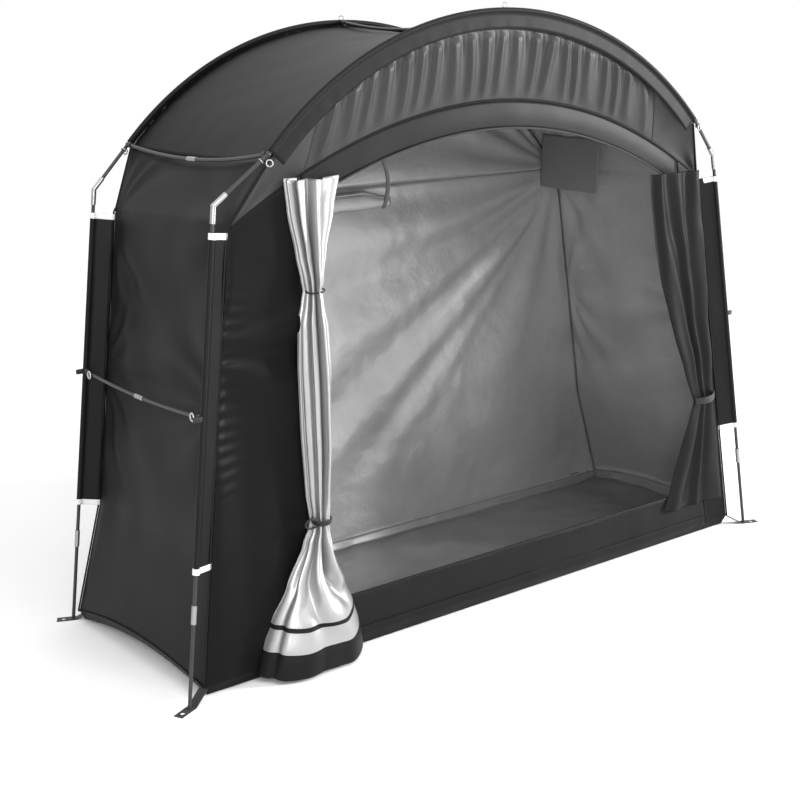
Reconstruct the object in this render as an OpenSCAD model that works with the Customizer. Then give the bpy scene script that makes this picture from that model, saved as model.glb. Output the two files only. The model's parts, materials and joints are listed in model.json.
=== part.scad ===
// Pole-framed fabric shelter for two bicycles, with its doors tied open.
// Millimetres. +X is the right-hand end seen from the front, the doorway faces -Y, +Z is up.
// The origin is on the ground, under the middle of the floor.

/* [Pole frame] */
// Distance between the left and right pole feet
foot_span = 2000; // [1800:10:2200]
// Distance between the front and rear pole feet
foot_depth = 700; // [620:10:800]
// Distance between the left and right poles at the eaves
eave_span = 1686; // [1620:2:1760]
// Distance between the front and rear poles at the eaves
eave_depth = 660; // [600:10:720]
// Height of the eaves, where the leg sleeves end
eave_h = 1122; // [900:2:1340]
// How far the bend of the corner elbows stands above the eaves
elbow_rise = 60; // [50:1:90]
// Distance between the left and right hubs, where the arches end
arch_span = 1418; // [1360:2:1480]
// Distance between the front and rear arches
arch_depth = 740; // [680:10:800]
// How far the hubs stand above the eaves
hub_rise = 168; // [130:2:200]
// Height of the arches at the ridge
ridge_h = 1600; // [1400:5:1800]
// Diameter of the poles
pole_d = 9.5; // [8:0.5:12]
// How far the ridge spreader bows down
ridge_sag = 33; // [20:1:45]
// How far the shoulder spreaders bow down
shoulder_sag = 25; // [15:1:35]
// How far the side spreaders bow down
side_sag = 12; // [6:1:20]
// Height of the side spreaders
side_h = 700; // [500:10:900]

/* [Metal fittings] */
// Length of each arm of an elbow
elbow_len = 40; // [30:1:50]
// Wall of the elbows and ferrules around the pole
tube_wall = 1.6; // [1:0.1:2.5]
// Length of a ferrule
ferrule_len = 46; // [30:1:60]
// Distance from the lower end of a leg sleeve down to the ferrule
ferrule_below = 74; // [10:2:120]
// Outer diameter of the collars at the spreaders' ends
collar_d = 15; // [14:0.5:18]
// Length of a collar
collar_len = 12; // [8:1:18]
// Distance from a pole to the collar on a spreader's end
collar_in = 2; // [1.5:0.5:4]
// Wire of the rings at the hubs
ring_wire = 3; // [2:0.5:4]
// Distance from a hub to its ring
ring_out = 22; // [18:1:30]

/* [Cover] */
// Thickness of the cloth
cloth = 3; // [2:0.5:4]
// Thickness of one layer of a pole sleeve
sleeve_t = 1.5; // [1:0.1:2]
// Width of the arch sleeves, from the pole to their seam
sleeve_w = 46; // [36:1:60]
// Sideways distance from the leg poles to the wall corners
inset_x = 50; // [40:1:60]
// Front to rear distance from the leg poles to the wall corners
inset_y = 25; // [18:1:32]
// Height of the lower ends of the leg sleeves
sleeve_h = 330; // [280:5:420]
// Length of the reflective bands at the ends of the leg sleeves
band_len = 15; // [10:1:30]
// Height of the hem above the ground
hem_h = 30; // [20:1:50]
// How far the cloth turns in from the hem to the floor
hem_turn = 30; // [20:1:40]
// Thickness of the floor sheet
floor_t = 3; // [2:0.5:5]
// Height of the front gable at the middle, from the valance's lower seam to the ridge
valance_drop = 222; // [180:2:260]
// How far the valance seam stands out from the eaves, at the middle
valance_out = 30; // [20:1:40]
// Number of gathers in the valance
gathers = 20; // [12:1:26]
// Depth of the gathers
gather_d = 11; // [4:1:14]
// Share of the gable's width that is gathered
gathered = 0.74; // [0.65:0.01:0.8]

/* [Doorway] */
// Height of the header band over the doorway
header_h = 70; // [50:1:85]
// Distance from the middle to the left edge of the doorway
door_left = 595; // [570:5:640]
// Width of the fixed panel to the right of the doorway
right_panel_w = 100; // [80:2:120]
// Height of the front sill
sill_h = 150; // [110:2:180]

/* [Curtains] */
// Folds around the gathered left curtain
folds = 9; // [6:1:11]
// Depth of those folds, as a share of the bundle's radius
fold_share = 0.12; // [0.05:0.01:0.16]
// Height of the left curtain's upper tie
upper_tie_h = 960; // [900:5:1000]
// Height of the left curtain's lower tie
lower_tie_h = 383; // [340:5:420]
// Half width of the left curtain at its top
curtain_top_w = 74; // [60:2:84]
// Half width of the left curtain between its ties
curtain_body_w = 42; // [36:1:60]
// Half width of the left curtain at its hem
curtain_hem_w = 142; // [120:2:160]
// Half depth of the left curtain at its top
curtain_top_d = 18; // [14:1:22]
// Half depth of the left curtain between its ties
curtain_body_d = 36; // [28:1:40]
// Half depth of the left curtain at its hem
curtain_hem_d = 52; // [44:1:56]
// How far the left curtain's top hangs past the doorway's edge
curtain_in = 28; // [0:1:34]
// How far the left curtain's hem hangs back from the doorway's edge
curtain_back = 50; // [30:1:80]
// Distance from the seam over the doorway to the left curtain's top
curtain_drop = 8; // [4:1:12]
// How far the left curtain's hem spreads below its seam
hem_spread = 4; // [0:1:6]
// Radius of the left curtain where it is tied
tied_r = 24; // [20:1:28]
// Cord of the curtain ties
tie_d = 6; // [4:0.5:8]
// Height of the left curtain's dark hem
curtain_hem = 50; // [40:1:60]
// Height of the tie on the right curtain
right_tie_h = 440; // [380:5:500]
// Width of the right curtain's webbing tie
right_tie_w = 24; // [18:1:30]
// Height of the right curtain's lower edge
right_curtain_h = 110; // [100:5:140]
// Depth of the right curtain's folds
right_fold_d = 8; // [4:1:10]
// Width of the right curtain at its top, in front of the doorway
right_swing = 130; // [100:5:160]
// How far the right curtain's lower corner falls back in front of the doorway
right_fall = 268; // [220:4:300]
// How far the right curtain is lapped over the header
right_lap = 24; // [16:1:30]
// Distance from the doorway's left edge to the door strap
strap_in = 235; // [180:5:300]
// How far the door strap is sewn up behind the header
strap_sewn = 9; // [6:1:20]
// Length of the door strap that hangs from the header
strap_len = 130; // [70:5:150]
// Width of the door strap
strap_w = 9; // [6:1:14]

/* [Inside trim] */
// Height of the vent flap
vent_h = 168; // [140:4:200]
// Front edge of the vent flap, as a share of the end wall's half depth
vent_front = 0.04; // [0:0.02:0.2]
// Rear edge of the vent flap, as a share of the end wall's half depth
vent_rear = 0.82; // [0.5:0.02:0.86]
// Where the vent flap hangs on the shoulder slope, from the eave to the seam
vent_rise = 0.74; // [0.5:0.02:0.8]
// Depth of the rolled window flap, which lies flat against the wall
roll_d = 20; // [14:1:24]
// Height of the rolled window flap
roll_h = 60; // [40:2:66]
// Length of the rolled window flap
roll_len = 360; // [240:10:400]
// Distance from the middle to the right end of the rolled window flap
roll_right = 95; // [60:5:140]
// Distance from the eaves down to the middle of the rolled window flap
roll_drop = 36; // [32:1:60]

/* [Foot straps] */
// Thickness of the foot straps
strap_t = 2; // [1.5:0.5:4]
// Width of the foot straps
foot_strap_w = 25; // [20:1:32]
// How far a foot strap reaches past its pole
strap_tail = 45; // [36:1:60]
// Distance from the pole to the peg eyelet
eyelet_out = 27; // [22:1:30]
// Radius of the peg eyelets
eyelet_r = 6; // [4:0.5:7]

/* [Hidden] */

$fn = 48;
gap = 0.3;             // clearance between a piece and its seat
seam = 0.6;            // clearance along a sewn edge
spreader_gap = 0.8;    // clearance from the spreaders' fittings to the roof cloth
gable_gap = 1;         // clearance from the roof's edge to the gable cloth
cut = 1;               // how far a cutting tool runs past the face that it cuts
wall_rows = 6;         // rows of cloth between the hem and the eaves

elbow_h = eave_h + elbow_rise;
hub_h = eave_h + hub_rise;
valance_h = ridge_h - valance_drop;
ferrule_h = sleeve_h - ferrule_below - ferrule_len;

pole_r = pole_d / 2;
sleeve_r = pole_r + gap + sleeve_t;
tube_r = pole_r + gap + tube_wall;
hub_r = tube_r;

// The arch is a circle through both hubs and the ridge
arch_rise = ridge_h - hub_h;
arch_r = (pow(arch_span / 2, 2) + pow(arch_rise, 2)) / (2 * arch_rise);
arch_z = ridge_h - arch_r;
hub_a = asin(arch_span / 2 / arch_r);
sleeve_a = hub_a - asin((hub_r + 2 * gap) / arch_r);
roof_y = arch_depth / 2 - sleeve_t - gap;
roof_drop = max(tube_r, collar_d / 2) + spreader_gap;
gable_drop = roof_drop + cloth + gable_gap;

charcoal = [0.16, 0.16, 0.17];
silver = [0.68, 0.69, 0.70];
pole_black = [0.10, 0.10, 0.11];
steel = [0.75, 0.76, 0.78];
webbing = [0.07, 0.07, 0.08];

function lerp(a, b, t) = a + (b - a) * t;
function unit(v) = v / norm(v);
function flat(lists) = [for (one = lists) each one];
function steps(from, to, n) = [for (i = [0 : n]) lerp(from, to, i / n)];

// Points of the pole frame, where sx is -1 at the left and sy is -1 at the front
function foot(sx, sy) = [sx * foot_span / 2, sy * foot_depth / 2, strap_t];
function eave(sx, sy) = [sx * eave_span / 2, sy * eave_depth / 2, eave_h];
function hub(sx, sy) = [sx * arch_span / 2, sy * arch_depth / 2, hub_h];
function leg_at(sx, sy, z) = lerp(foot(sx, sy), eave(sx, sy), (z - strap_t) / (eave_h - strap_t));
function bend(sx, sy) = leg_at(sx, sy, elbow_h);
function elbow_low(sx, sy) = bend(sx, sy) + elbow_len * unit(foot(sx, sy) - bend(sx, sy));
function elbow_high(sx, sy) = bend(sx, sy) + elbow_len * unit(hub(sx, sy) - bend(sx, sy));
function leg_dir(sx, sy) = unit(eave(sx, sy) - foot(sx, sy));

// Corners of the cover: base is where it meets the floor, under the hem
function corner(sx, sy, z) = leg_at(sx, sy, z) - [sx * inset_x, sy * inset_y, 0];
base_x = corner(1, 1, hem_h)[0] - hem_turn;
base_y = corner(1, 1, hem_h)[1] - hem_turn;
base_z = floor_t + gap;
eave_x = corner(1, 1, eave_h)[0];
eave_y = corner(1, 1, eave_h)[1];
lining_x = cloth + 2 * gap;
seam_x = eave_x - lining_x;
function base(sx, sy) = [sx * base_x, sy * base_y, base_z];
// Distance from the middle to the front and rear walls
function half_depth(z) = corner(1, 1, z)[1];

// A corner's points from the floor up to the eave; row 0 is the base and row 1 the hem
function row_z(row) = lerp(hem_h, eave_h, (row - 1) / wall_rows);
function corner_row(sx, sy, row) = row == 0 ? base(sx, sy) : corner(sx, sy, row_z(row));

// The roof dips between the arches; w runs from -1 at the front arch to 1 at the rear one
function roof_sag(a, w) = lerp(ridge_sag, shoulder_sag, abs(a) / hub_a) * (1 - w * w);
function roof_point(a, w, drop) =
    let (r = arch_r - roof_sag(a, w) - drop)
    [r * sin(a), w * roof_y, arch_z + r * cos(a)];

// End wall above the eave: f runs from 0 at the eave to 1 at the shoulder seam
function slope_point(sx, w, f) =
    lerp([sx * eave_x, w * eave_y, eave_h], roof_point(sx * hub_a, w, roof_drop), f);

// Seam under the front gable, which runs from eave to eave over the doorway
function seam_z(x) = valance_h - (valance_h - eave_h) * pow(x / seam_x, 2);
function seam_y(x) = eave_y + valance_out * (1 - pow(x / seam_x, 2));

// Gable between the arch and that seam, or at the rear the level eave seam:
// u runs across it from -1 to 1, v up it from 0 to 1
function gable_point(sy, u, v) =
    let (x = u * seam_x,
         a = u * hub_a,
         r = arch_r - gable_drop,
         low = sy < 0 ? [x, -seam_y(x), seam_z(x) + seam] : [x, eave_y, eave_h + seam],
         high = [r * sin(a), sy * roof_y, arch_z + r * cos(a)])
    lerp(low, high, v);

// Edges of the doorway
function door_left_point(row) =
    row == 0 ? [-door_left, -base_y, base_z] :
    let (t = (row - 1) / wall_rows)
    [-door_left,
     -lerp(corner(1, 1, hem_h)[1], seam_y(door_left), t),
     lerp(hem_h, seam_z(door_left) - seam, t)];
function door_right_point(row) =
    let (c = corner_row(1, 1, row),
         top_x = eave_x - right_panel_w,
         t = max(0, (row - 1) / wall_rows))
    [c[0] - right_panel_w,
     -lerp(c[1], seam_y(top_x), row == 0 ? 0 : t),
     row == 0 ? base_z : lerp(hem_h, seam_z(top_x) - seam, t)];

// Closed sheet between two grids of points, with its faces turned outwards
module sheet(outer, inner) {
    rows = len(outer);
    cols = len(outer[0]);
    count = rows * cols;
    across = cross(outer[0][1] - outer[0][0], outer[1][0] - outer[0][0]);
    turned = across * (outer[0][0] - inner[0][0]) > 0;
    function at(r, c) = r * cols + c;
    function quad(a, b, c, d) = turned ? [[a, c, b], [a, d, c]] : [[a, b, c], [a, c, d]];
    faces = concat(
        flat([for (r = [0 : rows - 2]) for (c = [0 : cols - 2])
            quad(at(r, c), at(r, c + 1), at(r + 1, c + 1), at(r + 1, c))]),
        flat([for (r = [0 : rows - 2]) for (c = [0 : cols - 2])
            quad(count + at(r, c), count + at(r + 1, c), count + at(r + 1, c + 1), count + at(r, c + 1))]),
        flat([for (c = [0 : cols - 2])
            quad(at(0, c + 1), at(0, c), count + at(0, c), count + at(0, c + 1))]),
        flat([for (c = [0 : cols - 2])
            quad(at(rows - 1, c), at(rows - 1, c + 1), count + at(rows - 1, c + 1), count + at(rows - 1, c))]),
        flat([for (r = [0 : rows - 2])
            quad(at(r, 0), at(r + 1, 0), count + at(r + 1, 0), count + at(r, 0))]),
        flat([for (r = [0 : rows - 2])
            quad(at(r + 1, cols - 1), at(r, cols - 1), count + at(r, cols - 1), count + at(r + 1, cols - 1))]));
    polyhedron(points = concat(flat(outer), flat(inner)), faces = faces, convexity = 8);
}

// Sheet of even thickness: the inner grid is the outer one moved by shift
module cloth_sheet(outer, shift) {
    sheet(outer, [for (row = outer) [for (p = row) p + shift]]);
}

// Closed bundle through rings of points that lie one below the other
module bundle(rings) {
    n = len(rings[0]);
    last = len(rings) - 1;
    points = flat(rings);
    sides = flat([for (k = [0 : last - 1]) for (i = [0 : n - 1])
        let (j = (i + 1) % n, a = k * n, b = a + n)
        [[a + i, b + i, a + j], [a + j, b + i, b + j]]]);
    top = [for (i = [1 : n - 2]) [0, i, i + 1]];
    bottom = [for (i = [1 : n - 2]) [last * n, last * n + i + 1, last * n + i]];
    polyhedron(points = points, faces = [for (f = concat(sides, top, bottom)) [f[0], f[2], f[1]]], convexity = 6);
}

// Moves children from the Z axis to a line that starts at a and points along d
module along(a, d) {
    translate(a)
        rotate([0, acos(d[2] / norm(d)), atan2(d[1], d[0])])
            children();
}

module rod(a, b, d) {
    along(a, b - a) cylinder(h = norm(b - a), d = d);
}

module tube(a, d, length, outer_r) {
    along(a, d) difference() {
        cylinder(h = length, r = outer_r);
        translate([0, 0, -cut]) cylinder(h = length + 2 * cut, r = pole_r + gap / 2);
    }
}

// Arch in the XZ plane, over the middle of the shelter
module arch_sweep(half_angle) {
    translate([0, 0, arch_z])
        rotate([90, 0, 0])
            rotate([0, 0, 90 - half_angle])
                rotate_extrude(angle = 2 * half_angle, $fn = 180) children();
}

// Pole of a given span along Y that bows down by sag, with its ends at z = 0
module bowed_pole(span, sag) {
    r = (span * span / 4 + sag * sag) / (2 * sag);
    half = asin(span / 2 / r);
    translate([0, 0, r - sag])
        rotate([90, 0, 90])
            rotate([0, 0, -90 - half])
                rotate_extrude(angle = 2 * half, $fn = 360) translate([r, 0]) circle(r = pole_r);
}

// Spreaders: half span at the poles, height, sideways place, sag and the room kept at the ends
side_leg = leg_at(1, 1, side_h);
spreaders = [
    [0, ridge_h, arch_depth / 2 - sleeve_r - gap, ridge_sag],
    [-arch_span / 2, hub_h, arch_depth / 2 - hub_r - gap, shoulder_sag],
    [arch_span / 2, hub_h, arch_depth / 2 - hub_r - gap, shoulder_sag],
    [-side_leg[0], side_h, side_leg[1] - sleeve_r - gap, side_sag],
    [side_leg[0], side_h, side_leg[1] - sleeve_r - gap, side_sag]
];

module spreader(k) {
    s = spreaders[k];
    color(pole_black) translate([s[0], 0, s[1]]) bowed_pole(2 * s[2], s[3]);
}

// Slope of a spreader at its ends
function end_angle(s) = 2 * atan(s[3] / s[2]);

module arch_pole(sy) {
    color(pole_black) {
        translate([0, sy * arch_depth / 2, 0]) arch_sweep(hub_a) translate([arch_r, 0]) circle(r = pole_r);
        for (sx = [-1, 1]) {
            translate(hub(sx, sy)) sphere(r = hub_r);
            rod(hub(sx, sy), elbow_high(sx, sy), pole_d);
        }
    }
}
module front_arch_pole() { arch_pole(-1); }
module rear_arch_pole() { arch_pole(1); }

// A leg stands on its foot strap, cut level where it meets it
module leg(sx, sy) {
    low = foot(sx, sy) - leg_dir(sx, sy) * pole_d;
    color(pole_black) difference() {
        rod(low, elbow_low(sx, sy), pole_d);
        translate([low[0] - pole_d, low[1] - pole_d, strap_t - 3 * pole_d])
            cube([3 * pole_d, 3 * pole_d, 3 * pole_d]);
    }
}
module front_left_leg() { leg(-1, -1); }
module front_right_leg() { leg(1, -1); }
module rear_left_leg() { leg(-1, 1); }
module rear_right_leg() { leg(1, 1); }

module corner_elbows() {
    color(steel) for (sx = [-1, 1]) for (sy = [-1, 1]) {
        rod(elbow_low(sx, sy), bend(sx, sy), 2 * tube_r);
        translate(bend(sx, sy)) sphere(r = tube_r + gap);
        rod(bend(sx, sy), elbow_high(sx, sy), 2 * tube_r);
    }
}

module leg_ferrules() {
    color(steel) for (sx = [-1, 1]) for (sy = [-1, 1])
        tube(leg_at(sx, sy, ferrule_h), leg_dir(sx, sy), ferrule_len, tube_r);
}

module ridge_spreader() { spreader(0); }
module left_shoulder_spreader() { spreader(1); }
module right_shoulder_spreader() { spreader(2); }
module left_side_spreader() { spreader(3); }
module right_side_spreader() { spreader(4); }

module spreader_ferrules() {
    color(steel) for (s = spreaders)
        tube([s[0], -ferrule_len / 2, s[1] - s[3]], [0, 1, 0], ferrule_len, tube_r);
}

// Cups on the ends of the spreaders, beside the poles that they press against
module spreader_collars() {
    color(webbing) for (s = spreaders) for (sy = [-1, 1])
        translate([s[0], sy * s[2], s[1]])
            rotate([sy * (90 + end_angle(s)), 0, 0])
                translate([0, 0, collar_in]) difference() {
                    cylinder(h = collar_len, d = collar_d);
                    translate([0, 0, -cut]) cylinder(h = collar_len + 2 * cut, r = pole_r + gap);
                }
}

// Rings that slide on the bare pole beside each hub
module hub_rings() {
    ring_r = pole_r + gap + ring_wire / 2;
    color(steel) for (sx = [-1, 1]) for (sy = [-1, 1])
        along(hub(sx, sy), elbow_high(sx, sy) - hub(sx, sy))
            translate([0, 0, ring_out])
                rotate_extrude() translate([ring_r, 0]) circle(d = ring_wire);
}

// Webbing from the hem's corner down to the pole foot and out to a peg eyelet
module foot_straps() {
    color(webbing) for (sx = [-1, 1]) for (sy = [-1, 1]) {
        out = foot(sx, sy) - corner(sx, sy, hem_h);
        reach = norm([out[0], out[1]]) - gap;
        inner = pole_d;
        translate([foot(sx, sy)[0], foot(sx, sy)[1], 0])
            rotate([0, 0, atan2(out[1], out[0])])
                difference() {
                    rotate([90, 0, 0])
                        linear_extrude(foot_strap_w, center = true)
                            polygon([[strap_tail, 0], [strap_tail, strap_t], [-inner, strap_t],
                                     [-reach, hem_h], [-reach, hem_h - strap_t], [-inner, 0]]);
                    translate([eyelet_out, 0, -cut]) cylinder(h = strap_t + 2 * cut, r = eyelet_r);
                }
    }
}

module roof_panel(sx) {
    angles = steps(0, sx * hub_a, 12);
    places = steps(-1, 1, 8);
    color(charcoal) sheet(
        [for (a = angles) [for (w = places) roof_point(a, w, roof_drop)]],
        [for (a = angles) [for (w = places) roof_point(a, w, roof_drop + cloth)]]);
}
module left_roof_panel() { roof_panel(-1); }
module right_roof_panel() { roof_panel(1); }

module end_wall(sx) {
    places = steps(-1, 1, 8);
    rise = [1 / 3, 2 / 3];
    low = [for (row = [0 : wall_rows + 1]) [for (w = places)
        lerp(corner_row(sx, -1, row), corner_row(sx, 1, row), (w + 1) / 2)]];
    slope = [for (f = rise) [for (w = places) slope_point(sx, w, f)]];
    top_a = sx * (hub_a + asin(seam / arch_r));
    top = [for (w = places) roof_point(top_a, w, roof_drop)];
    inward = [-sx * cloth, 0, 0];
    color(charcoal) sheet(
        concat(low, slope, [top]),
        concat([for (row = concat(low, slope)) [for (p = row) p + inward]],
               [[for (p = top) p - cloth * [sx * sin(hub_a), 0, cos(hub_a)]]]));
}
module left_end_wall() { end_wall(-1); }
module right_end_wall() { end_wall(1); }

module rear_wall() {
    color(charcoal) cloth_sheet(
        [for (row = [0 : wall_rows + 1]) [for (u = steps(-1, 1, 8))
            let (c = corner_row(1, 1, row))
            [u * (c[0] - lining_x), c[1], row > wall_rows ? eave_h - seam : c[2]]]],
        [0, -cloth, 0]);
}

module rear_gable() {
    color(charcoal) cloth_sheet(
        [for (v = steps(0, 1, 6)) [for (u = steps(-1, 1, 24)) gable_point(1, u, v)]],
        [0, -cloth, 0]);
}

// Sleeve around an arch pole, with a doubled band of cloth that hangs inwards from it
module arch_sleeve(sy) {
    color(charcoal) translate([0, sy * arch_depth / 2, 0])
        arch_sweep(sleeve_a) difference() {
            union() {
                translate([arch_r, 0]) circle(r = sleeve_r);
                translate([arch_r - sleeve_w, -sleeve_t]) square([sleeve_w, 2 * sleeve_t]);
            }
            translate([arch_r, 0]) circle(r = pole_r + gap);
        }
}
module front_arch_sleeve() { arch_sleeve(-1); }
module rear_arch_sleeve() { arch_sleeve(1); }

// Front gable cloth: gathered in the middle, deepest under the sleeve and fading to its lower seam
band_share = 0.16;
gather_top = 0.64;
function gather(u, v) =
    let (wave = 0.5 - 0.5 * cos(360 * gathers * (u / gathered + 1) / 2),
         fade = v > gather_top ? (1 - band_share - v) / (1 - band_share - gather_top) : v / gather_top)
    gather_d * wave * max(0, fade);
module valance() {
    color(charcoal) cloth_sheet(
        [for (v = concat(steps(0, gather_top, 3), [1 - band_share, 1]))
            [for (u = steps(-gathered, gathered, 4 * gathers))
                gable_point(-1, u, v) - [0, gather(u, v), 0]]],
        [0, cloth, 0]);
}

module gusset(sx) {
    from = gathered + seam / eave_x;
    color(charcoal) cloth_sheet(
        [for (v = steps(0, 1, 5)) [for (u = steps(from, 1, 4)) gable_point(-1, sx * u, v)]],
        [0, cloth, 0]);
}
module left_gusset() { gusset(-1); }
module right_gusset() { gusset(1); }

header_right = eave_x - right_panel_w - gap;
function header_point(x, drop) = [x, -seam_y(x), seam_z(x) - seam - drop];
module door_header() {
    places = steps(-door_left + gap, header_right, 28);
    color(charcoal) cloth_sheet(
        [for (drop = [0, header_h]) [for (x = places) header_point(x, drop)]],
        [0, cloth, 0]);
}

// Fixed cloth beside the doorway, from the edge points to the wall corner
module front_panel(edge, sx) {
    color(charcoal) cloth_sheet(
        [for (row = [0 : wall_rows + 1])
            let (c = corner_row(sx, -1, row), from = edge[row], to = c - [sx * lining_x, 0, 0])
            [for (t = steps(0, 1, 3))
                let (x = lerp(from[0], to[0], t))
                [x,
                 lerp(from[1], to[1], t),
                 row > wall_rows ? seam_z(x) - seam : lerp(from[2], to[2], t)]]],
        [0, cloth, 0]);
}
module left_front_panel() { front_panel([for (row = [0 : wall_rows + 1]) door_left_point(row)], -1); }
module right_front_panel() { front_panel([for (row = [0 : wall_rows + 1]) door_right_point(row)], 1); }

module front_sill() {
    rows = [[base_z, base_y], [hem_h, half_depth(hem_h)], [sill_h, half_depth(sill_h)]];
    color(charcoal) cloth_sheet(
        [for (r = rows)
            let (right = r[0] < hem_h ? base_x : corner(1, 1, r[0])[0])
            [for (x = steps(-door_left + gap, right - right_panel_w - gap, 8)) [x, -r[1], r[0]]]],
        [0, cloth, 0]);
}

// Leg sleeve: pole hem plus a doubled flap that reaches to the wall corner
module leg_sleeve_cut(sx, sy, from, length) {
    d = leg_dir(sx, sy);
    start = leg_at(sx, sy, from);
    inward = -[sx * inset_x, sy * inset_y, 0];
    reach = norm(cross(d, inward)) - 2 * gap;
    turn = atan2(d[1], d[0]);
    ahead = [d[2] * cos(turn), d[2] * sin(turn), -norm([d[0], d[1]])];
    beside = [-sin(turn), cos(turn), 0];
    along(start, d)
        rotate([0, 0, atan2(inward * beside, inward * ahead)])
            linear_extrude(length) difference() {
                union() {
                    circle(r = sleeve_r);
                    translate([0, -sleeve_t]) square([reach, 2 * sleeve_t]);
                }
                circle(r = pole_r + gap);
            }
}
sleeve_len = norm(eave(1, 1) - leg_at(1, 1, sleeve_h));
module leg_sleeve(sx, sy) {
    d = leg_dir(sx, sy);
    color(charcoal)
        leg_sleeve_cut(sx, sy, sleeve_h + (band_len + gap) * d[2], sleeve_len - 2 * (band_len + gap));
}
module front_left_sleeve() { leg_sleeve(-1, -1); }
module front_right_sleeve() { leg_sleeve(1, -1); }
module rear_left_sleeve() { leg_sleeve(-1, 1); }
module rear_right_sleeve() { leg_sleeve(1, 1); }

module reflective_bands() {
    color("white") for (sx = [-1, 1]) for (sy = [-1, 1])
        for (z = [sleeve_h, eave_h - band_len * leg_dir(sx, sy)[2]])
            leg_sleeve_cut(sx, sy, z, band_len);
}

module floor_sheet() {
    color(silver) linear_extrude(floor_t)
        polygon([[-base_x, -base_y], [base_x, -base_y], [base_x, base_y], [-base_x, base_y]]);
}

// Left curtain: a gathered bundle in front of the left panel, drawn in at two ties.
// Each ring has a height, a place from the doorway's edge, a half width and a half depth.
top_ring_h = seam_z(door_left) - curtain_drop;
function hung(t) = lerp(curtain_in, -curtain_back, t);
function upper_ring(t, lean) =
    [lerp(top_ring_h, upper_tie_h, t), hung(lean),
     lerp(curtain_top_w, tied_r, t), lerp(curtain_top_d, tied_r, t)];
function body_ring(t, lean, full) =
    [lerp(upper_tie_h, lower_tie_h, t), hung(lean),
     lerp(tied_r, curtain_body_w, full), lerp(tied_r, curtain_body_d, full)];
function lower_ring(t, lean, full) =
    [lerp(lower_tie_h, curtain_hem + gap, t), hung(lean),
     lerp(tied_r, curtain_hem_w, full), lerp(tied_r, curtain_hem_d, pow(full, 0.5))];
curtain_rings = [
    upper_ring(0, 0), upper_ring(0.3, 0.08), upper_ring(0.7, 0.2), upper_ring(1, 0.28),
    body_ring(0.12, 0.29, 0.7), body_ring(0.35, 0.29, 1), body_ring(0.65, 0.36, 0.85), body_ring(0.9, 0.46, 0.4),
    lower_ring(0, 0.49, 0), lower_ring(0.15, 0.55, 0.2), lower_ring(0.5, 0.8, 0.66), lower_ring(0.82, 0.95, 0.9),
    lower_ring(1, 1, 1)
];
tie_gap = 3 * gap;
tie_room = tie_d + tie_gap;
function panel_face(x, z) =
    max(half_depth(min(z, eave_h)),
        lerp(half_depth(hem_h), seam_y(x), min(1, (z - hem_h) / (seam_z(x) - hem_h))));
function curtain_face(ring) =
    panel_face(max(0, door_left - ring[1] - ring[2] * (1 + fold_share)), ring[0]);
function curtain_ring(ring, room) =
    let (n = 4 * folds,
         centre = -curtain_face(ring) - gap - room - ring[3] * (1 + fold_share))
    [for (i = [0 : n - 1])
        let (a = 360 * i / n, grow = 1 + fold_share * cos(folds * a))
        [-door_left + ring[1] + ring[2] * grow * cos(a), centre + ring[3] * grow * sin(a), ring[0]]];
module left_curtain() {
    color(silver)
        bundle([for (k = [0 : len(curtain_rings) - 1]) curtain_ring(curtain_rings[k], k == 0 ? 0 : tie_room)]);
}

module left_curtain_hem() {
    last = curtain_rings[len(curtain_rings) - 1];
    color(charcoal) bundle([
        curtain_ring([curtain_hem, last[1], last[2], last[3]], tie_room),
        curtain_ring([base_z, last[1], last[2] + hem_spread, last[3]], tie_room)]);
}

module left_curtain_ties() {
    r = tied_r * (1 + fold_share);
    color(webbing) for (k = [3, 8]) {
        ring = curtain_rings[k];
        translate([-door_left + ring[1], -curtain_face(ring) - gap - tie_room - r, ring[0]])
            rotate_extrude() translate([r + tie_gap + tie_d / 2, 0]) circle(d = tie_d);
    }
}

// Right curtain: its free edge swings out to the tie and falls back below it
function right_outer(z) = corner(1, 1, min(z, eave_h))[0] - inset_x / 2;
right_top_h = seam_z(eave_x - right_panel_w) - seam - header_h + right_lap;
right_tie_x = right_outer(right_tie_h) - right_panel_w;
function right_inner(z) =
    z > right_tie_h
        ? let (t = (right_top_h - z) / (right_top_h - right_tie_h))
          lerp(eave_x - right_panel_w - right_swing, right_tie_x, pow(max(t, 0), 1.6))
        : lerp(right_tie_x, corner(1, 1, hem_h)[0] - right_fall,
               (right_tie_h - z) / (right_tie_h - right_curtain_h));
function right_face(z) = panel_face(eave_x - right_panel_w, z) + gap + cloth;
module right_curtain() {
    waves = 3;
    color(charcoal) cloth_sheet(
        [for (z = concat(steps(right_top_h, right_tie_h, 7),
                         steps(lerp(right_tie_h, right_curtain_h, 0.12), right_curtain_h, 4)))
            [for (t = steps(0, 1, 4 * waves))
                [lerp(right_inner(z), right_outer(z), t),
                 -right_face(z) - valance_out * max(0, (z - right_tie_h) / (right_top_h - right_tie_h))
                     - right_fold_d * (1 - cos(360 * waves * t)) / 2,
                 z]]],
        [0, cloth, 0]);
}

module right_curtain_tie() {
    from = right_tie_x - right_fold_d;
    to = right_outer(right_tie_h);
    color(webbing)
        translate([from,
                   -right_face(right_tie_h) - right_fold_d - tie_gap - cloth / 2,
                   right_tie_h - right_tie_w / 2])
            cube([to - from, cloth / 2, right_tie_w]);
}

// Flap that hangs inside the right end wall, from the slope under the shoulder seam
module vent_flap() {
    top = [for (t = steps(vent_front, vent_rear, 4)) slope_point(1, t, vent_rise) - [cloth + 2 * gap, 0, 0]];
    color([0.25, 0.25, 0.26]) cloth_sheet([top, [for (p = top) p - [0, 0, vent_h]]], [-cloth / 2, 0, 0]);
}

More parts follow.
